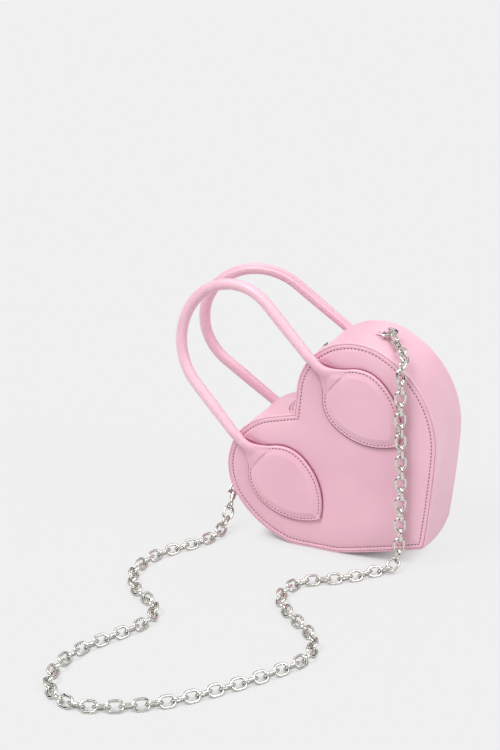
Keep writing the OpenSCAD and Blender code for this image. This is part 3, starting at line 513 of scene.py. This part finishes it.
def panel_height(inside, x, z, side):
    """Height over the face: puff (1 - e^(-t/7)), less a groove under the stitches and the hollow
    beside each leaf, plus waves. The front's side is -1 and the back's is 1."""
    seed, shift = (1, 0) if side < 0 else (2, BACK_SHIFT)
    t = np.clip(inside - STITCH_IN - PUFF_GAP, 0, None)
    dip = GROOVE_DEEP * np.exp(-((inside - STITCH_IN) / GROOVE_WIDE) ** 2)
    for centre in (shift - HANDLE_X, shift + HANDLE_X):
        beside = np.clip(-leaf_distance(x - centre, z), 0, None)
        hollow = sum(deep * np.exp(-(beside / reach) ** 2) for deep, reach in HOLLOWS)
        dip = dip + hollow * step(inside, *HOLLOW_FROM)
    puff = PANEL_PUFF * (1 - np.exp(-t / PUFF_REACH))
    return puff - dip + waves(x, z, seed) * step(inside, *WAVES_FROM)


print("front panel's height 30 mm in:", panel_height(30, 0.0, 0.0, -1).round(2))

# %% Panels
MIDDLE, MIDDLE_ROWS, MIDDLE_IN = np.array([0, -22.0]), 90, 30
BACK_SHARES = (0, 0.35, 0.7, 0.93)
# Rows round the turned edge as (inset, lift), then rows on the face by their inset alone.
EDGE_ROWS = [(0.6, -1.6), (0.1, -1.55), (0, -1.2), (0, -0.7), (0.15, -0.28), (0.5, -0.06),
             (1.0, 0)]
FLAT_ROWS = [1.5, 2.0, 2.5, 2.8, 3.05, 3.2, 3.35, 3.6, 4.0, 4.6, 5.4, 6.4, 7.6, 9, 10.6, 12.4,
             14.4, 16.6, 19, 21.6]


def make_panel(name, side):
    """Rows from the back's middle, round the edge, over the puffed face to the front's middle.
    The floor presses the flank's rows up, and that fades out towards the middle."""
    rows = []

    def row(flat, depth, floor_mm):
        rows.append(stand(flat[:, 0], side * depth, flat[:, 1], floor_mm))

    edge = outline(PANEL_INSET + EDGE_ROWS[0][0])
    for share in BACK_SHARES:
        row(between(MIDDLE, edge, share), FACE_Y - PANEL_T, PANEL_INSET)
    for inset, lift in EDGE_ROWS:
        row(outline(PANEL_INSET + inset), FACE_Y + lift, PANEL_INSET + inset)
    for inset in FLAT_ROWS:
        inner = outline(PANEL_INSET + inset)
        row(inner, FACE_Y + panel_height(inset, *inner.T, side), PANEL_INSET + inset)
    middle_h = stand(MIDDLE[0], 0, MIDDLE[1])[2]
    for share in np.linspace(1, 0, MIDDLE_ROWS)[1:]:
        flat = between(MIDDLE, inner, share)
        lift = panel_height(FLAT_ROWS[-1] + (1 - share) * MIDDLE_IN, *flat.T, side)
        row(flat, FACE_Y + lift, middle_h - (middle_h - PANEL_INSET - FLAT_ROWS[-1]) * share)
    made = piece(name, rows, grid_faces(len(rows), ring_n), panel_leather)
    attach(made, "bag")
    return made


front_panel = make_panel("front_panel_leather", -1)
back_panel = make_panel("back_panel_leather", 1)
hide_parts("front_panel")
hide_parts("back_panel")

# %% [markdown]
# ## The gusset
# One long strip of leather runs all the way round the heart. Its two edges are folded into round
# lips that stand round the panels, and between them it draws in a little, as leather does between
# two stiff rims. Only round the tip is it full instead. A slot is left along the cleft and over
# the right lobe for the zip: those cells are simply left out, and Solidify gives the strip its
# wall, also round the slot.

# %% Gusset
LIP_Y, LIP_ROUND, SLOT_HALF, SLOT_START = BAG_D / 2 - 0.6, 0.55, 4.5, 2
DRAW, DRAW_WAVE, TIP_FULL, TIP_REACH = 0.35, 0.13, 3.2, 16
ACROSS = np.array([-34.4, -33.9, -33.2, -32.2, -30.5, -27.5, -23.5, -19, -14.5, -10.5, -7, -4.5,
                   -2.2, 0])
ACROSS = np.r_[ACROSS, -ACROSS[-2::-1]]


def gusset_draw(along, depth):
    """How far the strip draws in: a third of a millimetre between the lips, plus slow waves. Round
    the tip it is full instead, by TIP_FULL e^(-t^2) with t counted in points from the tip."""
    share = 1 - (depth / LIP_Y) ** 2
    turn = along / ring_n * 2 * np.pi
    wave = np.sin(turn * 9 + 1) * np.sin(depth / 13 + 0.8) + np.sin(turn * 17 + depth / 21)
    full = TIP_FULL * np.exp(-((along - ring_n // 2) / TIP_REACH) ** 2)
    return share * (DRAW + DRAW_WAVE * wave - full)


base = outline(0)
inwards = outline(1) - base
index = np.arange(ring_n)
sheet_rows = []
for depth in ACROSS:
    p = base + inwards * gusset_draw(index, depth)[:, None]
    sheet_rows.append(stand(p[:, 0], depth, p[:, 1], 0))
cells = grid_faces(len(ACROSS), ring_n)
zip_columns = len(SIDE) + ZIP_POINTS
row_of, column_of = cells[:, 0] // ring_n, cells[:, 0] % ring_n
middle = (ACROSS[row_of] + ACROSS[row_of + 1]) / 2
in_slot = (np.abs(middle) < SLOT_HALF) & (column_of >= SLOT_START) & (column_of < zip_columns)
gusset = piece("gusset_leather", sheet_rows, cells[~in_slot], gusset_leather)
wall = gusset.modifiers.new("wall", "SOLIDIFY")
wall.thickness, wall.offset, wall.use_even_offset = GUSSET_T * MM, -1, True
lips = gusset.modifiers.new("lips", "BEVEL")
lips.width, lips.segments, lips.limit_method, lips.angle_limit = LIP_ROUND * MM, 3, "ANGLE", 0.8
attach(gusset, "bag")
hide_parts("gusset")

# %% [markdown]
# ## Leaf tabs
# The leaf is stitched flat on the panel and padded in its middle, and its stem rises and closes
# round the handle. It is cut by level lines. The height grows with the distance from the edge: a
# rounded edge, a stitched margin, then the padding. A thin backing shows round it in a dark rose
# that is partly edge paint and partly painted shadow, the line of shade under the leaf's edge; it
# reaches further out on the side of negative x. Towards the stem the section changes from that low
# shape into the round of the tube.

# %% Leaf height
LEAF_EDGE, LEAF_ROUND, LEAF_PUFF, LEAF_MARGIN = 2.9, 1.1, 1.5, 3.4
LEAF_STITCH, LEAF_GROOVE, LEAF_LINE_TOP, LEAF_PAD_TOP = 2.2, 0.35, 27, 31
LEAF_SEAT = FACE_Y + 0.9 * PANEL_PUFF


def leaf_height(x, z):
    """Rounded edge sqrt(2rt - t^2), less the stitch groove, plus the padding past the margin."""
    inside = np.clip(leaf_distance(x, z), 0, None)
    t = np.clip(inside, 0, LEAF_ROUND)
    edge = LEAF_EDGE - LEAF_ROUND + np.sqrt(2 * LEAF_ROUND * t - t * t)
    groove = LEAF_GROOVE * np.exp(-((inside - LEAF_STITCH) / 0.6) ** 2)
    pad = LEAF_PUFF * step(inside, LEAF_MARGIN - 0.6, LEAF_MARGIN + 5)
    return edge - groove * step(LEAF_LINE_TOP - z, 0, 3) + pad * step(LEAF_PAD_TOP - z, 0, 5)


print("leaf's height in its middle:", leaf_height(0.0, 0.0).round(2))

# %% Leaf tabs
STEM_TOP, STEM_THIN, LEAF_POINTS = 49.6, 0.35, 65
# Painted shadow: the backing reaches 1.6 mm past the leaf's edge on the side of negative x and 0.7 mm
# on the other, so that its dark rim also paints the line of shade under the edge.
BACKING_SHADOW_OUT, BACKING_TOP, BACKING_END, UNDER = (1.6, 0.7), 2.0, 30, 0.3
# Heights between which the stem rises off the panel, closes behind and narrows.
STEM_RISE, STEM_CLOSE, STEM_NARROW = (20, 45), (36, 50), (44, 49)


def tab_rows(side, centre):
    """Level rows from the leaf's point to the top of its stem, each a closed loop: over the front,
    down the edge, out over the backing, and back behind. On the way up each measure goes over
    into the stem's, m + (stem - m) share."""
    low = between(leaf_tip_z, flare_foot_z, 1 - np.cos(np.linspace(0, np.pi / 2, 52)))
    heights = np.r_[low, np.linspace(flare_foot_z, STEM_TOP, 44)[1:]][:, None]
    t = np.linspace(0, 1, LEAF_POINTS // 2 + 1)[:-1]
    share = np.r_[-1 + t ** 1.6, 0, (1 - t ** 1.6)[::-1]]
    width = leaf_half_width(heights)
    left, right = (width + out * step(BACKING_END - heights, 0, 4) for out in BACKING_SHADOW_OUT)
    stem_r = TUBE_R - STEM_THIN * step(heights, *STEM_NARROW)
    rise, late = step(heights, *STEM_RISE), step(heights, *STEM_CLOSE)
    x, angle = width * share, np.pi * (1 + share) / 2
    front = LEAF_SEAT + leaf_height(x, heights)
    front = between(front, TUBE_Y + stem_r * np.sin(angle), rise)
    behind = between(FACE_Y + UNDER + 0 * x, TUBE_Y - stem_r * np.sin(angle), late)
    x = between(x, -stem_r * np.cos(angle), rise ** 3)
    right_rim = between(np.concatenate([width, right, right], 1), stem_r, rise ** 3)
    left_rim = -between(np.concatenate([left, left, width], 1), stem_r, rise ** 3)
    top = between(FACE_Y + BACKING_TOP, TUBE_Y, rise)
    rim_depth = np.concatenate([top, top, between(FACE_Y + UNDER, TUBE_Y, late)], 1)
    across = np.concatenate([x, right_rim, x[:, ::-1], left_rim], 1)
    depth = np.concatenate([front, rim_depth, behind[:, ::-1], rim_depth[:, ::-1]], 1)
    return stand(across + centre, side * depth, heights + 0 * across)


def make_tab(name, node, side, centre):
    """The level rows, closed over the stem's end; the faces of both rims wear the dark rose, which
    is partly edge paint and partly painted shadow.
    """
    rows = tab_rows(side, centre)
    count = rows.shape[1]
    rows = np.concatenate([rows, np.repeat(rows[-1:].mean(1, keepdims=True), count, 1)])
    column = np.tile(np.arange(count), len(rows) - 1)
    # The faces of both rims take the dark rose: edge paint and painted shadow.
    rim = LEAF_POINTS + np.arange(3)
    paint_and_shadow_faces = np.isin(column, np.r_[rim, rim + LEAF_POINTS + 2])
    made = piece(name, rows, grid_faces(len(rows), count), panel_leather,
                 edge=(edge_paint_and_shadow, paint_and_shadow_faces))
    made.data.set_sharp_from_angle(angle=0.9)
    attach(made, "bag")
    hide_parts(node)
    return made


make_tab("front_left_leaf", "front_left_tab", -1, -HANDLE_X)
make_tab("front_right_leaf", "front_right_tab", -1, HANDLE_X)
make_tab("back_left_leaf", "back_left_tab", 1, BACK_SHIFT - HANDLE_X)
make_tab("back_right_leaf", "back_right_tab", 1, BACK_SHIFT + HANDLE_X)

# %% [markdown]
# ## Handles
# A handle is leather rolled round a foam rope and closed by a seam along its inner side. It is a
# round section carried along a path: straight up from the hinge, round a half ring and down again.
# At two places on the arch the leather gathers in fine ribs, and the arch is a little fuller
# than the necks. Near the hinge the tube bends between the bag and the handle.

# %% A section carried along a path
def unit(v):
    """Each vector over its length."""
    return v / np.linalg.norm(v, axis=1, keepdims=True)


def square_to(way, run):
    """The part of a way that is square to the run, way - (way . run) run, made one long."""
    return unit(way - (way * run).sum(1, keepdims=True) * run)


def carry(path, flat, section):
    """Points path + a*side + b*flat: flat is made square to the path's run, and side is their
    cross product. section is (path points, section points, 2), or one section for all."""
    run = np.roll(path, -1, 0) - np.roll(path, 1, 0)
    run[0], run[-1] = path[1] - path[0], path[-1] - path[-2]
    run = unit(run)
    flat = square_to(flat, run)
    side = np.cross(run, flat)
    section = np.broadcast_to(section, (len(path), *np.shape(section)[-2:]))
    return path[:, None] + section[..., :1] * side[:, None] + section[..., 1:] * flat[:, None]


def capped(rows):
    """Adds a row at each end that lies wholly in that end's middle, so that faces close it."""
    ends = [np.repeat(r.mean(0, keepdims=True), len(r), 0)[None] for r in (rows[0], rows[-1])]
    return np.concatenate([ends[0], rows, ends[1]])


def along_of(path):
    """Length run so far at each point of a path."""
    return np.r_[0, np.cumsum(np.linalg.norm(np.diff(path, axis=0), axis=1))]


DEPTH_WAY = np.array([0.0, 1.0, 0.0])
print("square to the depth:", square_to(np.ones((1, 3)), DEPTH_WAY[None]).round(2))

# %% Handles
HANDLE_RISE, HANDLE_LEAN, OVERLAP, BEND_REACH = 111, math.radians(12), 12, 7
ARCH_FULL, SEAM_AT, SEAM_DEEP, SEAM_WIDE = 0.45, math.pi - 0.75, 0.75, 0.18
RIB_DEEP, RIB_MM, PATH_STEP = 0.09, 2.3, 0.55
LEG = HANDLE_RISE - HANDLE_X


def handle_path(side, shift):
    """Up a leg, round the half ring (-R cos b, L + R sin b) and down the other leg. Above the
    hinge it leans out. Also gives the way out of its plane, and how much of the arch a point has."""
    rise = np.arange(-OVERLAP, LEG, PATH_STEP)
    bend = np.linspace(0, np.pi, 330)
    x = np.r_[0 * rise - HANDLE_X, -HANDLE_X * np.cos(bend), (0 * rise + HANDLE_X)[::-1]]
    up = np.r_[rise, LEG + HANDLE_X * np.sin(bend), rise[::-1]]
    lean = HANDLE_LEAN * step(up, -BEND_REACH, BEND_REACH)
    depth = TUBE_Y - np.clip(up, 0, None) * np.sin(lean)
    z = HINGE_Z + np.where(up < 0, up, up * np.cos(lean))
    path = stand(x + shift, side * depth, z)
    flat = stand(0 * lean, -side * np.cos(lean), -np.sin(lean)) - stand(0, 0, 0)
    return path, flat, np.sin(np.r_[0 * rise, bend, 0 * rise])[:, None]


def handle_radius(run, arch, angle, seed):
    """Radius TUBE_R, fuller past the neck, plus ribs a sin(2 pi s / 2.3), strongest at two places,
    less the seam's groove with a ridge beside it, plus slow waves; both ends are drawn in."""
    hard = (np.exp(-((run - run[-1] * 0.33) / 34) ** 2)
            + 0.6 * np.exp(-((run - run[-1] * 0.70) / 30) ** 2))
    drift = 1.2 * np.sin(run / 7 + seed)
    ribs = RIB_DEEP * np.sin(2 * np.pi * run / RIB_MM + drift + 0.5 * np.sin(angle))
    from_seam = np.abs(np.angle(np.exp(1j * (angle - SEAM_AT))))
    groove = SEAM_DEEP * np.exp(-(from_seam / SEAM_WIDE) ** 2)
    ridge = 0.2 * np.exp(-((from_seam - 0.4) / SEAM_WIDE) ** 2)
    end = np.minimum(run, run[-1] - run)
    radius = TUBE_R + ARCH_FULL * step(end, OVERLAP, 50)
    radius = radius + ribs * hard * (0.35 + 0.65 * arch) - groove + ridge
    radius = radius + 0.06 * np.sin(run / 11 + seed) * np.sin(angle + run / 37)
    return radius * (0.90 + 0.10 * step(end, 1, 8)) * np.sqrt(np.clip(end / 1.5, 0, 1))


def make_handle(name, node, side, shift, seed):
    """The tube r (cos a, sin a) along the handle's path. It bends over 14 mm round the hinge."""
    path, flat, arch = handle_path(side, shift)
    angle = np.linspace(0, 2 * np.pi, 49)[:-1]
    radius = handle_radius(along_of(path)[:, None], arch, angle, seed)
    rows = carry(path, flat, radius[..., None] * ray(angle))
    made = piece(name, rows, grid_faces(len(path), len(angle)), handle_leather)
    hinge = stand(shift, side * TUBE_Y, HINGE_Z)
    legs = stand(0, 0, BEND_REACH) - stand(0, 0, 0)
    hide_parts(node)
    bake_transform(made)
    return made


make_handle("front_handle_tube", "front_handle_cover", -1, 0, 1)
make_handle("back_handle_tube", "back_handle_cover", 1, BACK_SHIFT, 2)

# %% [markdown]
# ## Ring loops
# A strip of leather goes round the ring's bar and comes back to itself, and its two ends are
# stitched down on the lobe. The path is drawn beside the lobe as run and height, turned onto the
# lobe's circle, and a flat section with soft corners is carried along it.

# %% Ring loops
LOOP_W, LOOP_T, RING_ANGLE = 7, 0.8, math.radians(25.5)
# The strip's middle line as (run, height) beside the lobe.
LOOP_PATH = np.array([(7.4, 0.5), (5.6, 0.5), (4.0, 0.55), (2.9, 0.95), (2.15, 2.1), (1.9, 3.4),
                      (1.32, 4.75), (0, 5.28), (-1.32, 4.75), (-1.88, 3.4), (-1.75, 2.1),
                      (-1.1, 1.0), (0.2, 0.6), (1.6, 0.52)])


def smooth_path(points, steps):
    """Catmull-Rom curve through the points, steps to a span, with its ends repeated."""
    p = np.vstack([2 * points[0] - points[1], points, 2 * points[-1] - points[-2]])
    t = (np.arange(steps) / steps)[:, None]
    spans = [0.5 * (2 * b + (c - a) * t + (2 * a - 5 * b + 4 * c - d) * t ** 2
                    + (3 * b - a - 3 * c + d) * t ** 3)
             for a, b, c, d in zip(p, p[1:], p[2:], p[3:])]
    return np.vstack([*spans, points[-1:]])


def soft_rectangle(width, thick, corner, per_corner=5):
    """A flat section: a quarter turn of the corner radius round each of its four corner centres."""
    quarter = np.linspace(0, np.pi / 2, per_corner)
    centre = np.array([width / 2 - corner, thick / 2 - corner])
    return np.vstack([centre * way + corner * ray(quarter + q * np.pi / 2)
                      for q, way in enumerate([(1, 1), (-1, 1), (-1, -1), (1, -1)])])


def on_lobe(run, height, mirror):
    """Beside the right lobe: angle = ring angle + run / radius; the left lobe is its mirror."""
    angle = RING_ANGLE + run / (LOBE_R + height)
    p = LOBE + (LOBE_R + height)[:, None] * ray(angle)
    return p * [mirror, 1]


def make_loop(name, node, mirror):
    """The flat section (thickness, width) carried along the strip's line on the lobe."""
    drawn = smooth_path(LOOP_PATH, 6)
    p = on_lobe(drawn[:, 0], drawn[:, 1], mirror)
    section = soft_rectangle(LOOP_T - 0.05, LOOP_W, 0.5)
    rows = capped(carry(stand(p[:, 0], 0, p[:, 1]), DEPTH_WAY, section))
    made = piece(name, rows, grid_faces(len(rows), len(section)), gusset_leather)
    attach(made, "bag")
    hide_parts(node)
    return made


make_loop("right_loop_leather", "right_ring_loop", 1)
make_loop("left_loop_leather", "left_ring_loop", -1)

# %% [markdown]
# ## Cleft patch and zip tapes
# The seam in the cleft is covered by a patch with a round end. It is a thin shell over the gusset,
# so a grid of top and bottom rows with a rounded rim gives it. The zip's tapes follow the gusset's
# own outline at a small inset, as a flat woven section carried along that line.

# %% Cleft patch
PATCH_W, PATCH_L, PATCH_R, STITCH_SEAT = 60, 16, 48, 0.92
# Each row's height over the gusset, from under the patch round its rim to the top.
PATCH_LIFTS = np.array([0.1, 0.1, 0.1, 0.2, 0.5, 0.72, 0.86, 0.9, 0.9, 0.9, 0.9])[:, None]


def patch_edge(count):
    """Across y and along s: the arc R - sqrt(R^2 - y^2) short of the round end, then straight back
    beside the cleft."""
    y = np.linspace(-PATCH_W / 2, PATCH_W / 2, count)
    end = side_l - PATCH_L + PATCH_R - np.sqrt(PATCH_R ** 2 - y ** 2)
    return np.vstack([np.stack([y, end], -1), np.stack([y[::-1], side_l - 1.4 + 0 * y], -1)])


def on_cleft(y, s, lift):
    """A point of the left lobe's side of the cleft, s from its top and lift above it."""
    direction, outward = ray(CLEFT_TURN + np.pi / 2), ray(CLEFT_TURN)
    p = LOBE + (LOBE_R + lift)[..., None] * outward + s[..., None] * direction
    return stand(-p[..., 0], y, p[..., 1])


def make_patch():
    """Rows shrink from the rim: p' = centre + (p - centre)(1 - inset / half size)."""
    edge = patch_edge(41)
    half = np.array([PATCH_W / 2, PATCH_L / 2])
    centre = np.array([0, side_l - PATCH_L / 2])
    rows = [between(centre, edge, share) for share in (0, 0.5, 0.97)]
    rows += [between(centre, edge, 1 - inset / half) for inset in (0, 0, 0.12, 0.4, 0.9)]
    rows = np.array(rows + [between(centre, edge, share) for share in (0.7, 0.35, 0)])
    y, s = rows[..., 0], rows[..., 1]
    return piece("cleft_patch_leather", on_cleft(y, s, PATCH_LIFTS + 0 * y),
                 grid_faces(*y.shape), gusset_leather)


patch = make_patch()
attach(patch, "bag")
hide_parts("cleft_patch")

# %% Zip tapes
TAPE_IN, TAPE_Y0, TAPE_W, TAPE_T = 2.0, 1.8, 5.6, 0.54
# The tapes run a little past both ends of the slot.
zip_run = outline(TAPE_IN)[1:zip_columns + 3]


def make_tape(name, side):
    """The flat section (thickness, width) carried along the zip's line, with lengths as its UV."""
    path = stand(zip_run[:, 0], side * (TAPE_Y0 + TAPE_W / 2), zip_run[:, 1])
    section = soft_rectangle(TAPE_T, TAPE_W, 0.2, 3)
    rows = capped(carry(path, DEPTH_WAY, section))
    run = np.r_[0, along_of(path), along_of(path)[-1]][:, None] + 0 * section[:, 1]
    return piece(name, rows, grid_faces(len(rows), len(section)), zip_cloth,
                 uv=np.stack([run, section[:, 1] + 0 * run], -1))


tapes = [make_tape("front_zip_tape", -1), make_tape("back_zip_tape", 1)]
for tape in tapes:
    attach(tape, "bag")
    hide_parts("zip_tapes")

# %% [markdown]
# ## Stitches
# Each stitch is a short loop of thread pulled down between two needle holes. One small capsule is
# shaped once, and copies of it are laid along each seam with a single sum of arrays: forward,
# sideways and up. The shade in the needle holes between them is painted: the same capsule,
# shorter and wider, in a dark colour.

# %% Stitch helper
PITCH, LOOK_AHEAD = 3.2, 0.4
lat = (np.array([-0.5, -0.25, 0.25, 0.5]) * np.pi)[:, None]
lon = np.arange(6) / 6 * 2 * np.pi
CAPSULE = np.stack([np.sin(lat) + 0 * lon, np.cos(lat) * np.cos(lon), np.cos(lat) * np.sin(lon)], -1)


def read_off(run, values, at):
    """The three coordinates at the lengths at, on straight lines between the known points."""
    return np.stack([np.interp(at, run, values[:, k]) for k in range(3)], -1)


def sew(name, lines, body, half_sizes, offset, finish, lift):
    """Copies of the capsule: place + a*run + b*side + c*out, one at each pitch of each line.
    A line is (points, out vectors, or one for all)."""
    groups, faces, first = [], [], 0
    one = grid_faces(*CAPSULE.shape[:2])
    for points, out in lines:
        run = along_of(points)
        count = max(int(run[-1] // PITCH), 1)
        at = (np.arange(count) + offset) * run[-1] / count
        place = read_off(run, points, at)
        ahead = unit(read_off(run, points, np.minimum(at + LOOK_AHEAD, run[-1]))
                     - read_off(run, points, np.maximum(at - LOOK_AHEAD, 0)))
        up = square_to(read_off(run, np.broadcast_to(out, points.shape), at), ahead)
        side = np.cross(ahead, up)
        axes = [v[:, None, None] * h for v, h in zip((ahead, side, up), half_sizes)]
        shaped = (place[:, None, None] + up[:, None, None] * lift
                  + sum(CAPSULE[None, ..., k, None] * axes[k] for k in range(3)))
        groups.append(shaped.reshape(-1, 3))
        starts = first + np.arange(count) * CAPSULE[..., 0].size
        faces.append((one[None] + starts[:, None, None]).reshape(-1, 4))
        first += len(groups[-1])
    made = piece(name, np.vstack(groups), np.vstack(faces), finish)
    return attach(made, body)


print("points in one stitch:", CAPSULE[..., 0].size)

# %% Seam lines
def panel_line(side):
    """The outline at the stitches' inset, on the panel's height."""
    p = outline(PANEL_INSET + STITCH_IN)
    p = np.vstack([p, p[:1]])
    lift = panel_height(STITCH_IN, *p.T, side)
    line = stand(p[:, 0], side * (FACE_Y + lift), p[:, 1], PANEL_INSET + STITCH_IN)
    return line, DEPTH_WAY * side


def leaf_line(side, centre):
    """At each height, the x where the distance from the edge is the stitch's, found on a grid."""
    z = np.linspace(LEAF_LINE_TOP, leaf_tip_z + 4.5, 160)[:, None]
    x = leaf_half_width(z) * np.linspace(0, 1, 200)
    past = leaf_distance(x, z) - LEAF_STITCH
    half = np.stack([np.take_along_axis(x, np.abs(past).argmin(1)[:, None], 1)[:, 0], z[:, 0]], -1)
    half = half[half[:, 0] > 0.2]
    loop = np.vstack([half, half[::-1] * [-1, 1]])
    lift = LEAF_SEAT + leaf_height(loop[:, 0], loop[:, 1])
    return stand(loop[:, 0] + centre, side * lift, loop[:, 1]), DEPTH_WAY * side


front_lines = [panel_line(-1), leaf_line(-1, -HANDLE_X), leaf_line(-1, HANDLE_X)]
back_lines = [panel_line(1), leaf_line(1, BACK_SHIFT - HANDLE_X),
              leaf_line(1, BACK_SHIFT + HANDLE_X)]


def patch_line(inside):
    """The round end's own arc, moved in from the patch's edge."""
    y = np.linspace(-PATCH_W / 2 + 2, PATCH_W / 2 - 2, 60)
    s = side_l - PATCH_L + PATCH_R - np.sqrt(PATCH_R ** 2 - y ** 2) + inside
    line = on_cleft(y, s, STITCH_SEAT + 0 * y)
    return line, on_cleft(y, s, STITCH_SEAT + 1 + 0 * y) - line


def loop_line(run_at, mirror):
    """A straight row across the loop's end."""
    y = np.linspace(-LOOP_W / 2 + 0.8, LOOP_W / 2 - 0.8, 12)
    p = on_lobe(np.full(12, run_at), np.full(12, 0.5 + LOOP_T / 2), mirror)
    out = stand(*np.insert(p[0] - LOBE * [mirror, 1], 1, 0)) - stand(0, 0, 0)
    return stand(p[:, 0], y, p[:, 1]), out


small_lines = [patch_line(1.6), patch_line(4.4), loop_line(5.8, 1), loop_line(5.8, -1)]
# The second size is that of the dark capsules that paint the shade in the needle holes.
STITCH, HOLE_SHADE = (0.85, 0.42, 0.32), (0.78, 0.86, 0.36)
for name, lines in (("front", front_lines), ("back", back_lines), ("gusset", small_lines)):
    sew(f"{name}_stitches", lines, "bag", STITCH, 0.25, thread, lift=0.05)
    sew(f"{name}_painted_hole_shades", lines, "bag", HOLE_SHADE, 0.75, painted_hole_shade, lift=0.02)

# %% [markdown]
# ## The chain
# In the exact model each link keeps a gap of 0.4 mm to the next, while real links lie against
# each other. So each stretch is copied, its loose triangles are merged into closed skins, and the
# skins are pushed out along their normals by just under half that gap.

# %% The chain
LINK_FULL = 0.19


def make_links(stretch):
    """A copy of one stretch of the chain, each point moved to p + LINK_FULL x its normal."""
    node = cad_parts[stretch]
    mesh = node.data.copy()
    mesh.transform(node.matrix_world)
    mesh.materials.clear()
    mesh.materials.append(nickel)
    merge(mesh, drop_slivers=False)
    points, outwards = np.empty((2, 3 * len(mesh.vertices)))
    mesh.vertices.foreach_get("co", points)
    mesh.vertex_normals.foreach_get("vector", outwards)
    mesh.vertices.foreach_set("co", points + outwards * LINK_FULL * MM)
    mesh.polygons.foreach_set("material_index", [0] * len(mesh.polygons))
    links = placed(f"{stretch}_links", mesh)
    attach(links, "bag")
    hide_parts(stretch)


for stretch in ("strap_drop", "strap_near", "strap_turn", "strap_far", "strap_rise"):
    make_links(stretch)

# %% [markdown]
# ## Finishes on the CAD pieces
# The other metal pieces stay as they are and take the nickel finish. The boards, foam and lining
# take their own.

# %% Finishes on the CAD pieces
METAL = ("zip_teeth", "zip_stops", "zip_slider", "zip_puller", "ring", "hook", "gate", "strap")
INSIDE = {"lining": lining_cloth, "foam": foam_cells, "pads": foam_cells, "core": foam_cells,
          "board": board_fibre}
for name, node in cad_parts.items():
    finish = panel_leather
    if name.startswith(METAL) or name.split("_", 1)[-1].startswith(METAL):
        finish = nickel
    if "loop" in name:
        finish = gusset_leather
    for word, inner in INSIDE.items():
        if word in name:
            finish = inner
    if not node.material_slots:
        node.data.materials.append(finish)
    for held in node.material_slots:
        held.material = finish
print("finished nodes:", len(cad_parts))
